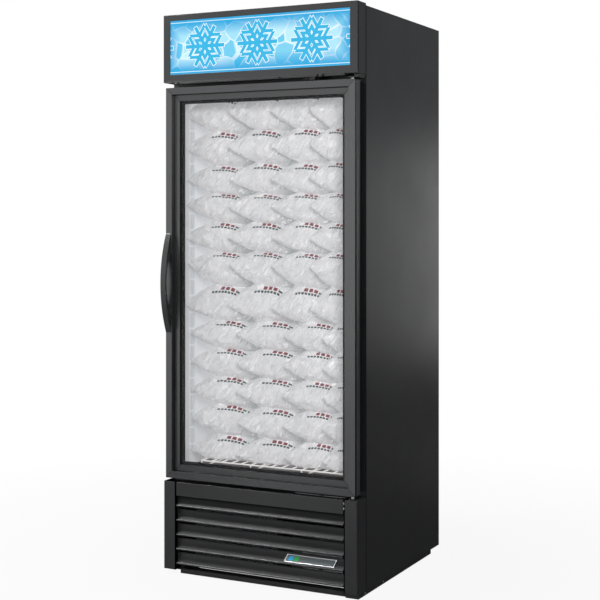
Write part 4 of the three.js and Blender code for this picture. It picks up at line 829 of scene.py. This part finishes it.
# ---- Door seal ----------------------------------------------------------------------------------
# A bellows with two folds on each side between its foot and its sealing face, as shares of its
# width and of the room that the plain seal fills.
low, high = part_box("door_gasket")
SEAL_WIDTH = 0.016
gasket_profile = rounded(
    [
        (0.0, 0.0),
        (1.0, 0.0),
        (1.0, 0.14),
        (0.74, 0.3),
        (0.95, 0.46),
        (0.74, 0.62),
        (0.97, 0.74),
        (0.97, 1.0),
        (0.03, 1.0),
        (0.03, 0.74),
        (0.26, 0.62),
        (0.05, 0.46),
        (0.26, 0.3),
        (0.0, 0.14),
    ]
)
gasket_profile *= (SEAL_WIDTH, high.y - low.y)
gasket_profile[:, 1] += low.y
outline = [(low.x, low.z), (high.x, low.z), (high.x, high.z), (low.x, high.z)]
gasket = framed("door_gasket_bellows", gasket_profile, outline, gasket_rubber)
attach(gasket, "door")
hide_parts("door_gasket")


# ---- Screws, badge bead and door stay -----------------------------------------------------------
# Pan head with a shallow recess, as radius and height in metres.
SCREW_HEAD = (
    (0, 0),
    (0.0042, 0),
    (0.0042, 0.0008),
    (0.0034, 0.0019),
    (0.002, 0.0023),
    (0.0016, 0.0013),
    (0, 0.0011),
)
LIP_SCREWS = (-0.320, 0.088, 0.232, 0.253, 0.336)  # along the header's lip
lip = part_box("header_frame")[0].z
for number, x in enumerate(LIP_SCREWS):
    place = (x, FACE, lip + 0.0045)
    head = turned(f"header_screw_{number + 1}", SCREW_HEAD, place, (0, -1, 0), black_oxide)
    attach(head, "cabinet")


def badge_parts():
    """A polished bead round the badge plate and two slanted enamel fields on it. They are drawn in
    the front view round the plate's centre, then laid into its plane, which leans back."""
    low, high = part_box("badge_plate")
    centre = (low + high) / 2
    up, out = Vector((0, 0.5335, 0.8458)), Vector((0, -0.8458, 0.5335))
    front = -0.0008  # the plate's face before its middle
    half_length, half_height = 0.0935, 0.014
    field_width, field_half = 0.018, 0.008

    def slanted(left, right, bottom, top):
        lean = 0.25  # sideways shift of an end for each metre of height
        return [
            (left + lean * bottom, bottom),
            (right + lean * bottom, bottom),
            (right + lean * top, top),
            (left + lean * top, top),
        ]

    def laid(made):
        mesh = made.data
        flat = np.empty(len(mesh.vertices) * 3)
        mesh.vertices.foreach_get("co", flat)
        across, depth, along = flat.reshape(-1, 3).T
        axes = np.array([(1, 0, 0), -out, up])
        points = np.stack([across, depth, along], axis=1) @ axes + np.array(centre)
        mesh.vertices.foreach_set("co", points.astype(np.float32).ravel())
        mesh.update()
        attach(made, "cabinet")

    seat, top = front + 0.0003, front - 0.0011
    bead = rounded([(0, seat), (0, top), (0.0022, top), (0.0022, seat)])
    rim = slanted(-half_length, half_length, -half_height, half_height)
    laid(framed("badge_bead", bead, rim, bright_metal))
    for name, left, material in (("blue", -0.082, enamel_blue), ("green", -0.061, enamel_green)):
        outline = slanted(left, left + field_width, -field_half, field_half)
        field = [(0, seat), (0.0004, front - 0.0004), (0.008, front - 0.0004)]
        laid(framed(f"badge_{name}", field, outline, material))


badge_parts()


def block(name, low, high, material):
    """A box between two corners, with its edges rounded to 0.8 mm."""
    shape = bmesh.new()
    bmesh.ops.create_cube(shape, size=1.0)
    size, centre = Vector(high) - Vector(low), (Vector(high) + Vector(low)) / 2
    for vertex in shape.verts:
        vertex.co = Vector(c * s for c, s in zip(vertex.co, size)) + centre
    bmesh.ops.bevel(shape, geom=shape.edges, offset=0.0008, segments=2, profile=0.6, affect="EDGES")
    mesh = bpy.data.meshes.new(name)
    shape.to_mesh(mesh)
    shape.free()
    return piece(name, mesh, material, smooth=False)


# Door stay under the header's lip: a black oxide stop and the moulded block that it meets.
for name, left, right, material in (
    ("door_stay_stop", 0.178, 0.2, black_oxide),
    ("door_stay_block", 0.201, 0.221, moulded_black),
):
    front, rear = FACE + 0.004, FACE + 0.022
    stay = block(name, (left, front, lip - 0.0095), (right, rear, lip - 0.0002), material)
    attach(stay, "cabinet")

# Bolts through the sides of the base frame, at their depths behind the door's face.
BOLT_HEAD = SCREW_HEAD[:4] + ((0, 0.0019),)
low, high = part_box("base_frame")
for side in (-1, 1):
    for number, depth in enumerate((0.065, 0.221)):
        place = (high.x * side, FACE + depth, (low.z + high.z) / 2)
        bolt = turned(f"base_bolt_{side}_{number}", BOLT_HEAD, place, (side, 0, 0), zinc_plate)
        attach(bolt, "cabinet")


# ---- Light, floor and backdrop ------------------------------------------------------------------
def softbox(name, place, target, width, height, power):
    """A rectangular studio lamp that the camera doesn't see."""
    lamp = bpy.data.lights.new(name, "AREA")
    lamp.shape = "RECTANGLE"
    lamp.size, lamp.size_y = width, height
    lamp.energy = power
    made = bpy.data.objects.new(name, lamp)
    made.location = place
    made.rotation_euler = (Vector(target) - Vector(place)).to_track_quat("-Z", "Y").to_euler()
    made.visible_camera = False
    bpy.context.scene.collection.objects.link(made)


# The front lamps and the left one make the broad sheen of the front faces, fill lights the bags,
# top and over reach the louvres from above, low the band under the door, and behind shines along
# the side panel.
softbox("front", (-1.9, -3.4, 1.28), (-0.1, -0.3, 1.1), 2.4, 2.7, 26)
softbox("front_right", (-0.9, -3.2, 1.45), (0.3, -0.3, 1.1), 0.8, 2.6, 5.6)
softbox("fill", (2.6, -3.8, 2.2), (0, -0.36, 1.0), 1.4, 1.4, 95)
softbox("top", (-2.0, -1.1, 3.6), (0, -0.36, 0.2), 0.6, 1.0, 150)
softbox("over", (-0.7, -1.6, 2.9), (0, -0.36, 0.2), 1.2, 0.7, 2.0)
softbox("low", (-0.4, -1.5, 0.06), (0.2, -0.36, 0.3), 0.7, 0.3, 0.5)
softbox("left", (-4.2, -2.2, 1.8), (0, -0.3, 1.1), 1.6, 2.4, 20)
softbox("behind", (1.02, 3.5, 1.06), (0.38, 0, 1.06), 0.8, 1.32, 7.0)
# Light inside the cabinet: a lamp for each side wall, aimed across from the other side.
for side in (-1, 1):
    wall = (0.341 * side, FACE + 0.3, 1.07)
    softbox(f"inside_{side}", (-0.2 * side, FACE + 0.45, 1.07), wall, 0.3, 1.3, 0.5)


def studio():
    """Plain studio: white where the camera sees it. What lights the object is grey, lightest just
    above the horizon and dim overhead."""
    world = bpy.data.worlds.new("studio")
    bpy.context.scene.world = world
    world.use_nodes = True
    tree = world.node_tree
    tree.nodes.clear()
    out = node(tree, "OutputWorld")
    aim = node(tree, "SeparateXYZ", {0: node(tree, "TexCoord").outputs["Generated"]})
    rise = node(tree, "MapRange", {0: aim.outputs["Z"], "From Min": -0.25, "From Max": 0.3})
    lower = blend_colours(tree, rise, linear("#8C8C8E"), linear("#B4B6B8"))
    over = node(tree, "MapRange", {0: aim.outputs["Z"], "From Min": 0.3, "From Max": 0.6})
    grey = blend_colours(tree, over, lower, linear("#4A4A4C"))
    light = node(tree, "Background", {0: grey, 1: 0.75})
    seen = node(tree, "Background", {0: (1, 1, 1, 1), 1: 1.0})
    ray = node(tree, "LightPath").outputs["Is Camera Ray"]
    mixed = node(tree, "MixShader", {0: ray, 1: light, 2: seen})
    tree.links.new(mixed.outputs[0], out.inputs[0])


studio()
bpy.context.scene.view_settings.view_transform = "Standard"


def ground():
    """A large flat floor of matt white paper. The camera sees it nearly white beside the cabinet
    and white farther off, and it sends less light back than it seems to."""
    material, tree, out = blank("matt_white_paper")
    place = node(tree, "TexCoord").outputs["Object"]
    fibre = node(tree, "TexNoise", {"Vector": place, "Scale": 90.0})
    tone = blend_colours(tree, fibre, linear("#949494"), linear("#9C9C9C"))
    paper = node(tree, "BsdfDiffuse", {"Color": tone})
    bright = node(tree, "Emission", {"Color": (1, 1, 1, 1), "Strength": 1.0})
    ray = node(tree, "LightPath").outputs["Is Camera Ray"]
    far = node(tree, "VectorMath", {0: place}, operation="LENGTH").outputs["Value"]
    fade = node(
        tree, "MapRange", {0: far, "From Min": 0.6, "From Max": 2.4, "To Min": 0.92, "To Max": 1.0}
    )
    share = node(tree, "Math", {0: ray, 1: fade}, operation="MULTIPLY")
    mixed = node(tree, "MixShader", {0: share, 1: paper, 2: bright})
    tree.links.new(mixed.outputs[0], out.inputs[0])
    edge = 30.0
    corners = np.array([[(-edge, -edge, 0), (edge, -edge, 0)], [(-edge, edge, 0), (edge, edge, 0)]])
    surface("floor", corners, material, closed_columns=False)


ground()
